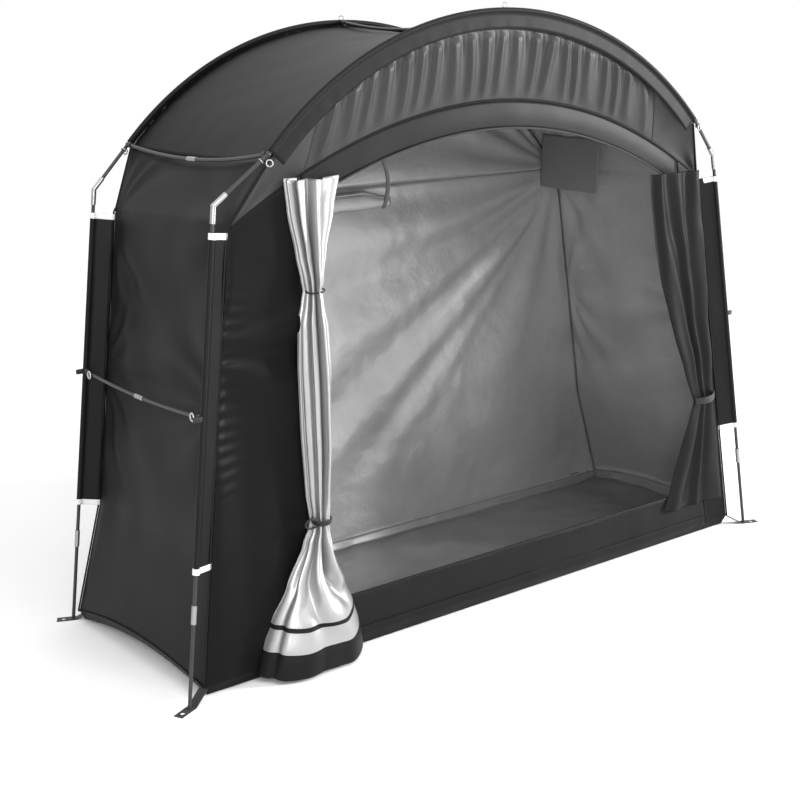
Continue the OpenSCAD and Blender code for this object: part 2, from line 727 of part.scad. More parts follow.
// Window flap rolled up on the rear wall, inside, as a flattened roll
module rolled_flap() {
    z = eave_h - roll_drop;
    face_y = half_depth(z + roll_h / 2) - cloth;
    color(silver) translate([roll_right - roll_len, face_y - gap - roll_d / 2, z])
        rotate([90, 0, 90])
            linear_extrude(roll_len) {
                square([roll_d, roll_h - roll_d], center = true);
                for (side = [-1, 1]) translate([0, side * (roll_h - roll_d) / 2]) circle(d = roll_d);
            }
}

// Door strap that hangs behind the header's lower edge
module door_strap() {
    x = strap_in - door_left;
    p = header_point(x, header_h);
    color(webbing) translate([p[0], p[1] + cloth + gap, p[2] + strap_sewn - strap_len])
        cube([strap_w, cloth / 2, strap_len]);
}

front_arch_pole();
rear_arch_pole();
front_left_leg();
front_right_leg();
rear_left_leg();
rear_right_leg();
corner_elbows();
leg_ferrules();
ridge_spreader();
left_shoulder_spreader();
right_shoulder_spreader();
left_side_spreader();
right_side_spreader();
spreader_ferrules();
spreader_collars();
hub_rings();
foot_straps();
left_roof_panel();
right_roof_panel();
left_end_wall();
right_end_wall();
rear_wall();
rear_gable();
front_arch_sleeve();
rear_arch_sleeve();
valance();
left_gusset();
right_gusset();
door_header();
left_front_panel();
right_front_panel();
front_sill();
front_left_sleeve();
front_right_sleeve();
rear_left_sleeve();
rear_right_sleeve();
reflective_bands();
floor_sheet();
left_curtain();
left_curtain_hem();
left_curtain_ties();
right_curtain();
right_curtain_tie();
vent_flap();
rolled_flap();
door_strap();
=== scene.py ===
import json
import math

import bpy
from mathutils import Matrix, Vector, noise


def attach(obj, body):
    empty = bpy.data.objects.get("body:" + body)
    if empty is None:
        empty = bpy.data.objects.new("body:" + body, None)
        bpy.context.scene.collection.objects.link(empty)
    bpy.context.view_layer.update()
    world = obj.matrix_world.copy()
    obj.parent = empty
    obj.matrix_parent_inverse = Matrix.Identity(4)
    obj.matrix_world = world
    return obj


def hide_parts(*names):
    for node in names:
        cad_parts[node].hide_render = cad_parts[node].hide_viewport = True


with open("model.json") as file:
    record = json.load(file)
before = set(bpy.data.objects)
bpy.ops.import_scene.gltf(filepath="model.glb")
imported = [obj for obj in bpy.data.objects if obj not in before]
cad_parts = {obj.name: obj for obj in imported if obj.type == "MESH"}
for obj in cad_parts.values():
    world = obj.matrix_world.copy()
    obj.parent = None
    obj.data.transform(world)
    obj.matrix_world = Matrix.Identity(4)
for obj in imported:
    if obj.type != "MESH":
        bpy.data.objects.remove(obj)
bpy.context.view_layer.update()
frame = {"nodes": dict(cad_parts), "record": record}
print("frame loaded with", len(frame["nodes"]), "nodes")

# pole frame and cover, in metres, as the solids have them
shelter = {
    "footSpan": 2.000, "footDepth": 0.700,
    "eaveSpan": 1.686, "eaveDepth": 0.660, "eaveHeight": 1.122,
    "archSpan": 1.418, "archDepth": 0.740, "hubHeight": 1.290, "ridgeHeight": 1.600,
    "strapThickness": 0.002, "sewnGap": 0.0006, "lapGap": 0.0003, "cornerGap": 0.0016,
    "ridgeSag": 0.033, "shoulderSag": 0.025, "sideHeight": 0.700,
    "insetX": 0.050, "insetY": 0.025, "hemHeight": 0.030, "hemTurn": 0.010, "floorTop": 0.003,
    "seamHeight": 1.378, "seamOut": 0.030, "headerHeight": 0.070,
    "doorLeft": 0.595, "rightPanel": 0.100, "sillHeight": 0.150,
    "gathered": 0.74, "roofDrop": 0.0083, "rearFlare": 0.045, "flareTop": 0.330,
}

hubRise = shelter["ridgeHeight"] - shelter["hubHeight"]
archRadius = ((shelter["archSpan"] / 2) ** 2 + hubRise ** 2) / (2 * hubRise)
archCentre = shelter["ridgeHeight"] - archRadius
hubAngle = math.asin(shelter["archSpan"] / 2 / archRadius)
roofHalf = shelter["archDepth"] / 2 - 0.002
sewnGap, lapGap, cornerGap = shelter["sewnGap"], shelter["lapGap"], shelter["cornerGap"]


def mix(a, b, t):
    return a + (b - a) * t


def smooth(t):
    t = min(1.0, max(0.0, t))
    return t * t * (3 - 2 * t)


def footPoint(sx, sy):
    return Vector((sx * shelter["footSpan"] / 2, sy * shelter["footDepth"] / 2, shelter["strapThickness"]))


def eavePoint(sx, sy):
    return Vector((sx * shelter["eaveSpan"] / 2, sy * shelter["eaveDepth"] / 2, shelter["eaveHeight"]))


def hubPoint(sx, sy):
    return Vector((sx * shelter["archSpan"] / 2, sy * shelter["archDepth"] / 2, shelter["hubHeight"]))


def legAt(sx, sy, z):
    low, high = footPoint(sx, sy), eavePoint(sx, sy)
    return mix(low, high, (z - low.z) / (high.z - low.z))


def cornerAt(sx, sy, z):
    return legAt(sx, sy, z) - Vector((sx * shelter["insetX"], sy * shelter["insetY"], 0))


# the rear foot straps draw the hem's corners outwards
def rearFlare(sy, z):
    if sy < 0:
        return 0.0
    share = (z - shelter["hemHeight"]) / (shelter["flareTop"] - shelter["hemHeight"])
    return shelter["rearFlare"] * (1 - min(1.0, max(0.0, share)))


hemZ = shelter["hemHeight"]
baseZ = shelter["floorTop"] + lapGap
hemCorner = cornerAt(1, 1, hemZ)
baseX = hemCorner.x - shelter["hemTurn"]
baseY = hemCorner.y - shelter["hemTurn"]
eaveCorner = cornerAt(1, 1, shelter["eaveHeight"])
seamX = eaveCorner.x - 0.0036


def seamZ(x):
    return shelter["seamHeight"] - (shelter["seamHeight"] - shelter["eaveHeight"]) * (x / seamX) ** 2


def seamY(x):
    return eaveCorner.y + shelter["seamOut"] * (1 - (x / seamX) ** 2)


def archPoint(angle, y, drop=0.0):
    r = archRadius - drop
    return Vector((r * math.sin(angle), y, archCentre + r * math.cos(angle)))


def roofPoint(angle, w):
    sag = mix(shelter["ridgeSag"], shelter["shoulderSag"], abs(angle) / hubAngle) * (1 - w * w)
    return archPoint(angle, w * roofHalf, sag + shelter["roofDrop"])


def gablePoint(sy, u, v):
    x = u * seamX
    low = Vector((x, -seamY(x), seamZ(x) + sewnGap))
    if sy > 0:
        low = Vector((x, eaveCorner.y, shelter["eaveHeight"]))
    return mix(low, archPoint(u * hubAngle, sy * roofHalf, shelter["roofDrop"] + 0.004), v)


# point of a wall edge from the floor (0) over the hem to the eave (1)
hemShare = 0.035


def wallEdge(sx, sy, t):
    if t < hemShare:
        base = Vector((sx * (baseX + rearFlare(sy, 0)), sy * baseY, baseZ))
        hem = cornerAt(sx, sy, hemZ) + Vector((sx * rearFlare(sy, 0), 0, 0))
        return mix(base, hem, smooth(t / hemShare))
    z = mix(hemZ, shelter["eaveHeight"], (t - hemShare) / (1 - hemShare))
    return cornerAt(sx, sy, z) + Vector((sx * rearFlare(sy, z), 0, 0))


def slopePoint(sx, w, f):
    low = Vector((sx * eaveCorner.x, w * eaveCorner.y, shelter["eaveHeight"]))
    return mix(low, roofPoint(sx * hubAngle, w), f)


# shader groups shared by the finishes

def newGroup(name, inputs, outputs):
    group = bpy.data.node_groups.new(name, "ShaderNodeTree")
    for label, kind, value in inputs:
        socket = group.interface.new_socket(name=label, in_out="INPUT", socket_type=kind)
        socket.default_value = value
    for label, kind in outputs:
        group.interface.new_socket(name=label, in_out="OUTPUT", socket_type=kind)
    start = group.nodes.new("NodeGroupInput")
    end = group.nodes.new("NodeGroupOutput")
    return group, start, end


def addNode(tree, kind, **values):
    node = tree.nodes.new(kind)
    for key, value in values.items():
        if hasattr(node, key):
            setattr(node, key, value)
        else:
            node.inputs[key.replace("_", " ")].default_value = value
    return node


def addMath(tree, operation, a, b=None, c=None):
    node = addNode(tree, "ShaderNodeMath", operation=operation)
    for socket, value in zip(node.inputs, (a, b, c)):
        if value is None:
            continue
        if hasattr(value, "is_output"):
            tree.links.new(value, socket)
        else:
            socket.default_value = value
    return node.outputs[0]


def weaveGroup():
    group, start, end = newGroup(
        "clothWeave", [("Scale", "NodeSocketFloat", 900.0), ("Unevenness", "NodeSocketFloat", 0.4)],
        [("Height", "NodeSocketFloat"), ("Tone", "NodeSocketFloat")])
    coord = addNode(group, "ShaderNodeTexCoord")
    split = addNode(group, "ShaderNodeSeparateXYZ")
    group.links.new(coord.outputs["Object"], split.inputs[0])
    along = addMath(group, "ADD", split.outputs["X"], split.outputs["Y"])
    warp = addMath(group, "SINE", addMath(group, "MULTIPLY", along, start.outputs["Scale"]))
    weft = addMath(group, "SINE", addMath(group, "MULTIPLY", split.outputs["Z"], start.outputs["Scale"]))
    cells = addMath(group, "MULTIPLY", warp, weft)
    blotch = addNode(group, "ShaderNodeTexNoise", Scale=7.0, Detail=3.0, Roughness=0.6)
    group.links.new(coord.outputs["Object"], blotch.inputs["Vector"])
    slub = addNode(group, "ShaderNodeTexNoise", Scale=160.0, Detail=1.0)
    group.links.new(coord.outputs["Object"], slub.inputs["Vector"])
    uneven = addMath(group, "MULTIPLY", slub.outputs["Fac"], start.outputs["Unevenness"])
    group.links.new(addMath(group, "MULTIPLY_ADD", cells, 0.35, uneven), end.inputs["Height"])
    group.links.new(blotch.outputs["Fac"], end.inputs["Tone"])
    return group


def crinkleGroup():
    group, start, end = newGroup(
        "foilCrinkle", [("Scale", "NodeSocketFloat", 18.0), ("Fine", "NodeSocketFloat", 0.45),
                        ("Sharp", "NodeSocketFloat", 0.5)],
        [("Height", "NodeSocketFloat")])
    coord = addNode(group, "ShaderNodeTexCoord")
    wobble = addNode(group, "ShaderNodeTexNoise", Scale=9.0, Detail=1.0)
    group.links.new(coord.outputs["Object"], wobble.inputs["Vector"])
    shift = addNode(group, "ShaderNodeVectorMath", operation="MULTIPLY_ADD")
    group.links.new(wobble.outputs["Color"], shift.inputs[0])
    shift.inputs[1].default_value = (0.09, 0.09, 0.09)
    group.links.new(coord.outputs["Object"], shift.inputs[2])
    big = addNode(group, "ShaderNodeTexVoronoi", feature="DISTANCE_TO_EDGE")
    group.links.new(shift.outputs[0], big.inputs["Vector"])
    group.links.new(start.outputs["Scale"], big.inputs["Scale"])
    small = addNode(group, "ShaderNodeTexNoise", Detail=1.0)
    group.links.new(coord.outputs["Object"], small.inputs["Vector"])
    group.links.new(addMath(group, "MULTIPLY", start.outputs["Scale"], 2.7), small.inputs["Scale"])
    ridge = addMath(group, "SUBTRACT", 1.0, addMath(group, "MULTIPLY", big.outputs["Distance"], 2.4))
    away = addMath(group, "ABSOLUTE", addMath(group, "SUBTRACT", small.outputs["Fac"], 0.5))
    fine = addMath(group, "SUBTRACT", 1.0, addMath(group, "MULTIPLY", away, 4.0))
    both = addMath(group, "MULTIPLY_ADD", fine, start.outputs["Fine"], ridge)
    swell = addNode(group, "ShaderNodeTexNoise", Detail=3.0, Roughness=0.5)
    group.links.new(coord.outputs["Object"], swell.inputs["Vector"])
    group.links.new(start.outputs["Scale"], swell.inputs["Scale"])
    sharp = addMath(group, "MULTIPLY", both, start.outputs["Sharp"])
    soft = addMath(group, "MULTIPLY", swell.outputs["Fac"], 2.0)
    group.links.new(addMath(group, "ADD", sharp, soft), end.inputs["Height"])
    return group


def edgeWearGroup():
    group, start, end = newGroup(
        "edgeWear", [("Scale", "NodeSocketFloat", 40.0), ("Amount", "NodeSocketFloat", 0.5)],
        [("Mask", "NodeSocketFloat")])
    geometry = addNode(group, "ShaderNodeNewGeometry")
    coord = addNode(group, "ShaderNodeTexCoord")
    speck = addNode(group, "ShaderNodeTexNoise", Detail=4.0, Roughness=0.7)
    group.links.new(coord.outputs["Object"], speck.inputs["Vector"])
    group.links.new(start.outputs["Scale"], speck.inputs["Scale"])
    edge = addMath(group, "MULTIPLY", addMath(group, "SUBTRACT", geometry.outputs["Pointiness"], 0.5), 6.0)
    worn = addMath(group, "MULTIPLY", addMath(group, "ADD", edge, speck.outputs["Fac"]), start.outputs["Amount"])
    group.links.new(addMath(group, "MINIMUM", addMath(group, "MAXIMUM", worn, 0.0), 1.0), end.inputs["Mask"])
    return group


weave = weaveGroup()
crinkle = crinkleGroup()
edgeWear = edgeWearGroup()


def placeGroup(tree, group, **values):
    node = tree.nodes.new("ShaderNodeGroup")
    node.node_tree = group
    for key, value in values.items():
        node.inputs[key].default_value = value
    return node


def mixColours(tree, factor, low, high):
    node = addNode(tree, "ShaderNodeMix", data_type="RGBA")
    tree.links.new(factor, node.inputs["Factor"])
    node.inputs[6].default_value = (*low, 1)
    node.inputs[7].default_value = (*high, 1)
    return node.outputs[2]


def mapRange(tree, value, low, high):
    node = addNode(tree, "ShaderNodeMapRange")
    node.inputs["To Min"].default_value = low
    node.inputs["To Max"].default_value = high
    tree.links.new(value, node.inputs["Value"])
    return node.outputs[0]


def startMaterial(name):
    material = bpy.data.materials.new(name)
    material.use_nodes = True
    tree = material.node_tree
    return material, tree, tree.nodes["Principled BSDF"]


def addBump(tree, shader, height, strength, distance, under=None):
    bump = addNode(tree, "ShaderNodeBump")
    bump.inputs["Strength"].default_value = strength
    bump.inputs["Distance"].default_value = distance
    tree.links.new(height, bump.inputs["Height"])
    if under is not None:
        tree.links.new(under.outputs["Normal"], bump.inputs["Normal"])
    tree.links.new(bump.outputs["Normal"], shader.inputs["Normal"])
    return bump


def clothMaterial(name, look):
    material, tree, shader = startMaterial(name)
    threads = placeGroup(tree, weave, Scale=look["threads"], Unevenness=0.5)
    folds = placeGroup(tree, crinkle, Scale=look["crinkle"], Fine=look["fine"], Sharp=look["sharp"])
    tone = mixColours(tree, threads.outputs["Tone"], look["dark"], look["pale"])
    tree.links.new(tone, shader.inputs["Base Color"])
    shader.inputs["Roughness"].default_value = look["rough"]
    shader.inputs["Metallic"].default_value = look["metal"]
    shader.inputs["Specular IOR Level"].default_value = look["specular"]
    shader.inputs["Sheen Weight"].default_value = look["sheen"]
    shader.inputs["Sheen Roughness"].default_value = 0.5
    first = addBump(tree, shader, threads.outputs["Height"], 0.25, 0.0004)
    addBump(tree, shader, folds.outputs["Height"], look["relief"], 0.004, first)
    return material


def hardMaterial(name, look):
    material, tree, shader = startMaterial(name)
    wear = placeGroup(tree, edgeWear, Scale=look["grain"], Amount=look["wear"])
    tone = mixColours(tree, wear.outputs["Mask"], look["base"], look["worn"])
    tree.links.new(tone, shader.inputs["Base Color"])
    gloss = mapRange(tree, wear.outputs["Mask"], look["rough"], look["rough"] + 0.18)
    tree.links.new(gloss, shader.inputs["Roughness"])
    shader.inputs["Metallic"].default_value = look["metal"]
    addBump(tree, shader, wear.outputs["Mask"], 0.15, 0.0003)
    return material


charcoal = {
    "threads": 2600.0, "crinkle": 6.0, "fine": 0.3, "sharp": 0.0, "dark": (0.007, 0.007, 0.0073),
    "pale": (0.011, 0.011, 0.0115), "rough": 0.46, "metal": 0.0, "specular": 0.11, "sheen": 0.0, "relief": 0.15}
coverCloth = clothMaterial("charcoalCover", charcoal)
# same charcoal cloth as the cover with a darker base colour: painted shade for the front panels and the roof
paintedShadeCloth = clothMaterial("charcoalPaintedShade", dict(
    charcoal, dark=(0.0030, 0.0030, 0.0031), pale=(0.0050, 0.0050, 0.0052), rough=0.44, specular=0.09))
# same charcoal cloth as the cover with a lighter base colour: painted light on the front gable's valance and gussets
paintedLightFrontCloth = clothMaterial("charcoalFrontPaintedLight", dict(
    charcoal, dark=(0.022, 0.022, 0.0225), pale=(0.032, 0.032, 0.0325), rough=0.44, specular=0.23, sheen=0.03,
    relief=0.20))
# same charcoal cloth as the cover with a lighter base colour: painted light on the door header
paintedLightHeaderCloth = clothMaterial("charcoalHeaderPaintedLight", dict(
    charcoal, dark=(0.009, 0.009, 0.0093), pale=(0.013, 0.013, 0.0134), specular=0.14))
liningCloth = clothMaterial("silverLining", {
    "threads": 2600.0, "crinkle": 22.0, "fine": 0.45, "sharp": 0.40, "dark": (0.29, 0.29, 0.295),
    "pale": (0.38, 0.38, 0.385), "rough": 0.39, "metal": 0.42, "specular": 0.5, "sheen": 0.0,
    "relief": 0.24})
curtainCloth = clothMaterial("silverCurtain", {
    "threads": 2600.0, "crinkle": 11.0, "fine": 0.3, "sharp": 0.0, "dark": (0.34, 0.34, 0.345),
    "pale": (0.45, 0.45, 0.455), "rough": 0.33, "metal": 0.60, "specular": 0.5, "sheen": 0.0,
    "relief": 0.25})
floorCloth = clothMaterial("floorSheet", {
    "threads": 2000.0, "crinkle": 7.0, "fine": 0.5, "sharp": 0.0, "dark": (0.12, 0.12, 0.122),
    "pale": (0.20, 0.20, 0.202), "rough": 0.35, "metal": 0.35, "specular": 0.5, "sheen": 0.0,
    "relief": 0.40})
ventCloth = clothMaterial("ventFlapCloth", {
    "threads": 2200.0, "crinkle": 6.0, "fine": 0.2, "sharp": 0.0, "dark": (0.125, 0.125, 0.126),
    "pale": (0.155, 0.155, 0.156), "rough": 0.7, "metal": 0.0, "specular": 0.3, "sheen": 0.1,
    "relief": 0.05})
webbingCloth = clothMaterial("blackWebbing", {
    "threads": 1500.0, "crinkle": 60.0, "fine": 0.2, "sharp": 0.0, "dark": (0.010, 0.010, 0.011),
    "pale": (0.020, 0.020, 0.021), "rough": 0.61, "metal": 0.0, "specular": 0.3, "sheen": 0.1,
    "relief": 0.08})
tapeCloth = clothMaterial("reflectiveTape", {
    "threads": 1800.0, "crinkle": 70.0, "fine": 0.2, "sharp": 0.0, "dark": (0.74, 0.74, 0.75),
    "pale": (0.86, 0.86, 0.87), "rough": 0.40, "metal": 0.0, "specular": 0.6, "sheen": 0.0,
    "relief": 0.08})
poleFinish = hardMaterial("blackFibreglass", {
    "base": (0.010, 0.010, 0.011), "worn": (0.035, 0.035, 0.036), "rough": 0.32, "metal": 0.0,
    "grain": 120.0, "wear": 0.3})
steelFinish = hardMaterial("platedSteel", {
    "base": (0.40, 0.405, 0.41), "worn": (0.26, 0.26, 0.265), "rough": 0.28, "metal": 1.0,
    "grain": 200.0, "wear": 0.4})
plasticFinish = hardMaterial("blackMoulding", {
    "base": (0.010, 0.010, 0.011), "worn": (0.030, 0.030, 0.031), "rough": 0.45, "metal": 0.0,
    "grain": 150.0, "wear": 0.3})
print("finishes made")

slotFinish = {
    "pole": poleFinish, "metal": steelFinish, "plastic": plasticFinish, "cover": coverCloth,
    "lining": liningCloth, "floor": floorCloth, "webbing": webbingCloth, "reflective": tapeCloth,
    "vent": ventCloth,
}
for row in frame["record"]["subparts"]:
    node = frame["nodes"][row["node"]]
    node.data.materials.clear()
    node.data.materials.append(slotFinish[row["material_slot"]])


# mesh helpers

def meshPiece(name, points, faces, materials, slotName):
    mesh = bpy.data.meshes.new(name)
    mesh.from_pydata([tuple(p) for p in points], [], faces)
    for material in materials:
        mesh.materials.append(material)
    mesh.update()
    for face in mesh.polygons:
        face.use_smooth = True
    piece = bpy.data.objects.new(name, mesh)
    bpy.context.scene.collection.objects.link(piece)
    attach(piece, "root")
    return piece


def gridFaces(rows, cols):
    return [(r * cols + c, r * cols + c + 1, (r + 1) * cols + c + 1, (r + 1) * cols + c)
            for r in range(rows - 1) for c in range(cols - 1)]


def normalsOf(grid):
    rows, cols = len(grid), len(grid[0])
    normals = []
    for r in range(rows):
        line = []
        for c in range(cols):
            across = grid[r][min(c + 1, cols - 1)] - grid[r][max(c - 1, 0)]
            up = grid[min(r + 1, rows - 1)][c] - grid[max(r - 1, 0)][c]
            line.append(across.cross(up).normalized())
        normals.append(line)
    return normals


def thicken(piece, thickness, offset):
    shell = piece.modifiers.new("thickness", "SOLIDIFY")
    shell.thickness = thickness
    shell.offset = offset
    return shell


# cloth sheet from a grid of smooth points, creased by wrinkle(point, u, v) along its outward side
def clothPiece(name, look, base, wrinkle, outward):
    rows, cols = look["rows"], look["cols"]
    grid = [[base(c / (cols - 1), r / (rows - 1)) for c in range(cols)] for r in range(rows)]
    normals = normalsOf(grid)
    away = sum((n.dot(outward(p)) for line, points in zip(normals, grid) for n, p in zip(line, points)))
    side = 1.0 if away > 0 else -1.0
    points = [p + n * side * wrinkle(p, c / (cols - 1), r / (rows - 1))
              for r, (line, row) in enumerate(zip(normals, grid))
              for c, (n, p) in enumerate(zip(line, row))]
    faces = gridFaces(rows, cols)
    if side < 0:
        faces = [f[::-1] for f in faces]
    piece = meshPiece(name, points, faces, [look.get("outer", coverCloth), look.get("inner", liningCloth)],
                      look.get("slot", "cover"))
    thicken(piece, look.get("thick", 0.0012), -1.0).material_offset = 1
    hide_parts(*look["replaces"])


# side of a sheet that faces out
def facing(*direction):
    return lambda p: Vector(direction)


def puckers(p, scale, seed):
    return noise.noise(Vector((p.x * scale, p.y * scale, p.z * scale + seed * 7.3)))


pullX, pullZ = 0.79, 1.12  # the eave corners, which pull on the cover


# creases that fan out from a point of tension; turn sets how many there are
def creaseFan(a, b, fromA, fromB, reach, turn, depth):
    da, db = a - fromA, b - fromB
    distance = math.hypot(da, db)
    if distance < 1e-6 or distance > reach:
        return 0.0
    angle = math.atan2(db, da)
    wave = math.sin(angle * turn + 1.7 * math.sin(angle * 3.1))
    return depth * wave * smooth(distance / (0.25 * reach)) * smooth(1 - distance / reach)


# closed tube through points, for piping and bent tubes
def tubeMesh(path, radius, sides=8):
    points, faces = [], []
    side = None
    for i, p in enumerate(path):
        ahead = (path[min(i + 1, len(path) - 1)] - path[max(i - 1, 0)]).normalized()
        if side is None:
            side = ahead.orthogonal().normalized()
        side = (side - ahead * side.dot(ahead)).normalized()
        other = ahead.cross(side)
        for k in range(sides):
            a = 2 * math.pi * k / sides
            points.append(p + side * (radius * math.cos(a)) + other * (radius * math.sin(a)))
    for i in range(len(path) - 1):
        for k in range(sides):
            j = (k + 1) % sides
            faces.append((i * sides + k, i * sides + j, (i + 1) * sides + j, (i + 1) * sides + k))
    faces.append(tuple(range(sides))[::-1])
    last = (len(path) - 1) * sides
    faces.append(tuple(range(last, last + sides)))
    return points, faces


def joinMeshes(parts):
    points, faces = [], []
    for morePoints, moreFaces in parts:
        start = len(points)
        points.extend(morePoints)
        faces.extend(tuple(i + start for i in face) for face in moreFaces)
    return points, faces


def pipingPiece(name, paths, radius, material=None, slotName="cover"):
    points, faces = joinMeshes([tubeMesh(path, radius) for path in paths])
    meshPiece(name, points, faces, [material or coverCloth], slotName)


# camera at the photograph's place
photoCamera = {
    "place": (-2.267, -3.020, 1.489), "heading": 35.67, "down": 14.34, "roll": -1.94,
    "focalPixels": 1332.5, "framePixels": 800.0,
}


def makeCamera(look):
    heading, down, roll = (math.radians(look[k]) for k in ("heading", "down", "roll"))
    ahead = Vector((math.sin(heading) * math.cos(down), math.cos(heading) * math.cos(down), -math.sin(down)))
    right = Vector((math.cos(heading), -math.sin(heading), 0))
    up = right.cross(ahead)
    rolledRight = right * math.cos(roll) + up * math.sin(roll)
    rolledUp = up * math.cos(roll) - right * math.sin(roll)
    data = bpy.data.cameras.new("photoCamera")
    data.sensor_width = 36.0
    data.lens = 36.0 * look["focalPixels"] / look["framePixels"]
    camera = bpy.data.objects.new("photoCamera", data)
    turn = Matrix((rolledRight, rolledUp, -ahead)).transposed().to_4x4()
    camera.matrix_world = Matrix.Translation(look["place"]) @ turn
    bpy.context.scene.collection.objects.link(camera)
    bpy.context.scene.camera = camera


makeCamera(photoCamera)


# roof: one sheet over both arches, dipping between them
# the roof wears the darker copy of the cover cloth, painted shade
roofLook = {
    "rows": 49, "cols": 121, "held": "stretched", "replaces": ["left_roof_panel", "right_roof_panel"],
    "restsOn": ["front_arch_pole", "rear_arch_pole"], "pucker": 0.0035, "edgePucker": 0.0025,
    "outer": paintedShadeCloth,
}


def roofWrinkle(p, u, v):
    edge = smooth(1 - min(v, 1 - v) / 0.16)
    angle = (2 * u - 1) * hubAngle
    pull = math.sin(angle * 95 + 2.0 * math.sin(angle * 23)) * roofLook["edgePucker"] * edge
    soft = roofLook["pucker"] * puckers(p, 4.2, 1) + 0.0016 * puckers(p, 13.0, 2)
    return -0.002 - abs(pull) * 0.6 + soft * smooth(min(v, 1 - v) / 0.06)


clothPiece("roofCover", roofLook, lambda u, v: roofPoint((2 * u - 1) * hubAngle, 1.004 * (2 * v - 1)), roofWrinkle,
           lambda p: Vector((p.x, 0, p.z - archCentre)))
print("roof made")


# end walls, from the floor up to the shoulder seam
endWallLook = {
    "rows": 111, "cols": 61, "held": "stretched", "pucker": 0.007, "crease": 0.0045,
    "slopeShare": 0.16, "fanReach": 0.55, "hemLift": 0.036, "liftTop": 0.42,
}


# the hem of an end wall is drawn up between its two feet
def hemLift(w, z):
    return endWallLook["hemLift"] * (1 - w * w) * (1 - smooth(z / endWallLook["liftTop"]))


def endWallBase(sx, u, v):
    w = 2 * u - 1
    share = 1 - endWallLook["slopeShare"]
    if v <= share:
        t = v / share
        p = mix(wallEdge(sx, -1, t), wallEdge(sx, 1, t), u)
        return p + Vector((0, 0, hemLift(w, p.z)))
    return slopePoint(sx, w, (v - share) / (1 - share))


def endWallWrinkle(p, u, v):
    quiet = smooth(min(u, 1 - u) / 0.05) * smooth(v / 0.05) * smooth((1 - v) / 0.04)
    soft = endWallLook["pucker"] * puckers(p, 2.4, 3) + 0.0022 * puckers(p, 8.5, 4)
    fan = creaseFan(p.y, p.z, -0.33, shelter["sideHeight"], endWallLook["fanReach"], 13, endWallLook["crease"])
    fan += creaseFan(p.y, p.z, 0.33, shelter["sideHeight"], endWallLook["fanReach"], 11, endWallLook["crease"])
    fan += creaseFan(p.y, p.z, -0.31, 1.12, 0.5, 9, 0.004) + creaseFan(p.y, p.z, 0.31, 1.12, 0.9, 9, 0.005)
    slant = p.z * 0.92 + p.y * 0.38 + 0.10 * puckers(p, 1.8, 24)
    drape = 0.0065 * math.sin(2 * math.pi * slant / 0.23) * smooth((p.z - 0.25) / 0.3) * smooth((1.25 - p.z) / 0.2)
    return -0.0015 + (soft + fan + drape) * quiet


for sx, sideName in ((-1, "left"), (1, "right")):
    look = dict(endWallLook, replaces=[sideName + "_end_wall"],
                restsOn=[sideName + "_shoulder_spreader", "floor_sheet"])
    clothPiece(sideName + "EndWall", look, lambda u, v, sx=sx: endWallBase(sx, u, v), endWallWrinkle,
               facing(sx, 0, 0.2))
print("end walls made")


# rear wall and rear gable
rearLook = {
    "rows": 101, "cols": 161, "held": "stretched", "replaces": ["rear_wall"], "restsOn": ["floor_sheet"],
    "pucker": 0.007,
}


def wallPoint(sy, x, t, topZ, topY):
    if t < hemShare:
        f = smooth(t / hemShare)
        return Vector((x, sy * mix(baseY, hemCorner.y, f), mix(baseZ, hemZ, f)))
    f = (t - hemShare) / (1 - hemShare)
    return Vector((x, sy * mix(hemCorner.y, topY, f), mix(hemZ, topZ, f)))


def rearBase(u, v):
    across = 2 * u - 1
    edge = wallEdge(1, 1, v).x - cornerGap
    return wallPoint(1, across * edge, v, shelter["eaveHeight"], eaveCorner.y)


def rearWrinkle(p, u, v):
    quiet = smooth(min(u, 1 - u) / 0.03) * smooth(v / 0.05) * smooth((1 - v) / 0.04)
    soft = rearLook["pucker"] * puckers(p, 2.6, 5) + 0.003 * puckers(p, 9.0, 6) + 0.0015 * puckers(p, 22.0, 7)
    fan = creaseFan(p.x, p.z, -pullX, pullZ, 0.9, 11, 0.008) + creaseFan(p.x, p.z, pullX, pullZ, 1.2, 11, 0.006)
    slope = (shelter["eaveHeight"] - p.z) / (0.86 - p.x)
    drawn = 0.008 * math.sin(2 * math.pi * 3.4 * slope + 2.5 * puckers(p, 1.6, 25))
    drawn *= smooth((0.80 - p.x) / 0.2) * smooth((1.4 - slope) / 0.8)
    return -0.0015 + (soft + fan + drawn) * quiet


clothPiece("rearWall", rearLook, rearBase, rearWrinkle, facing(0, 1, 0))

rearGableLook = {
    "rows": 31, "cols": 161, "held": "stretched", "replaces": ["rear_gable"],
    "restsOn": ["rear_arch_pole"], "pucker": 0.005,
}


def rearGableWrinkle(p, u, v):
    quiet = smooth(min(u, 1 - u) / 0.03) * smooth(v / 0.08) * smooth((1 - v) / 0.08)
    fan = creaseFan(p.x, p.z, pullX, pullZ, 1.5, 22, 0.010) + creaseFan(p.x, p.z, -pullX, pullZ, 0.8, 22, 0.008)
    return -0.0012 + quiet * (rearGableLook["pucker"] * puckers(p, 4.0, 8) + 0.002 * puckers(p, 12.0, 9) + fan)


clothPiece("rearGable", rearGableLook, lambda u, v: gablePoint(1, 2 * u - 1, v), rearGableWrinkle,
           facing(0, 1, 0))
print("rear made")


# gathered valance under the front arch, with plain gussets beside it
# the valance wears the lighter copy of the cover cloth, painted light
valanceLook = {
    "rows": 31, "cols": 381, "held": "gathered", "replaces": ["valance"], "restsOn": ["front_arch_pole"],
    "gathers": 22, "depth": 0.012, "ease": 1.06, "bandShare": 0.17, "outer": paintedLightFrontCloth,
}


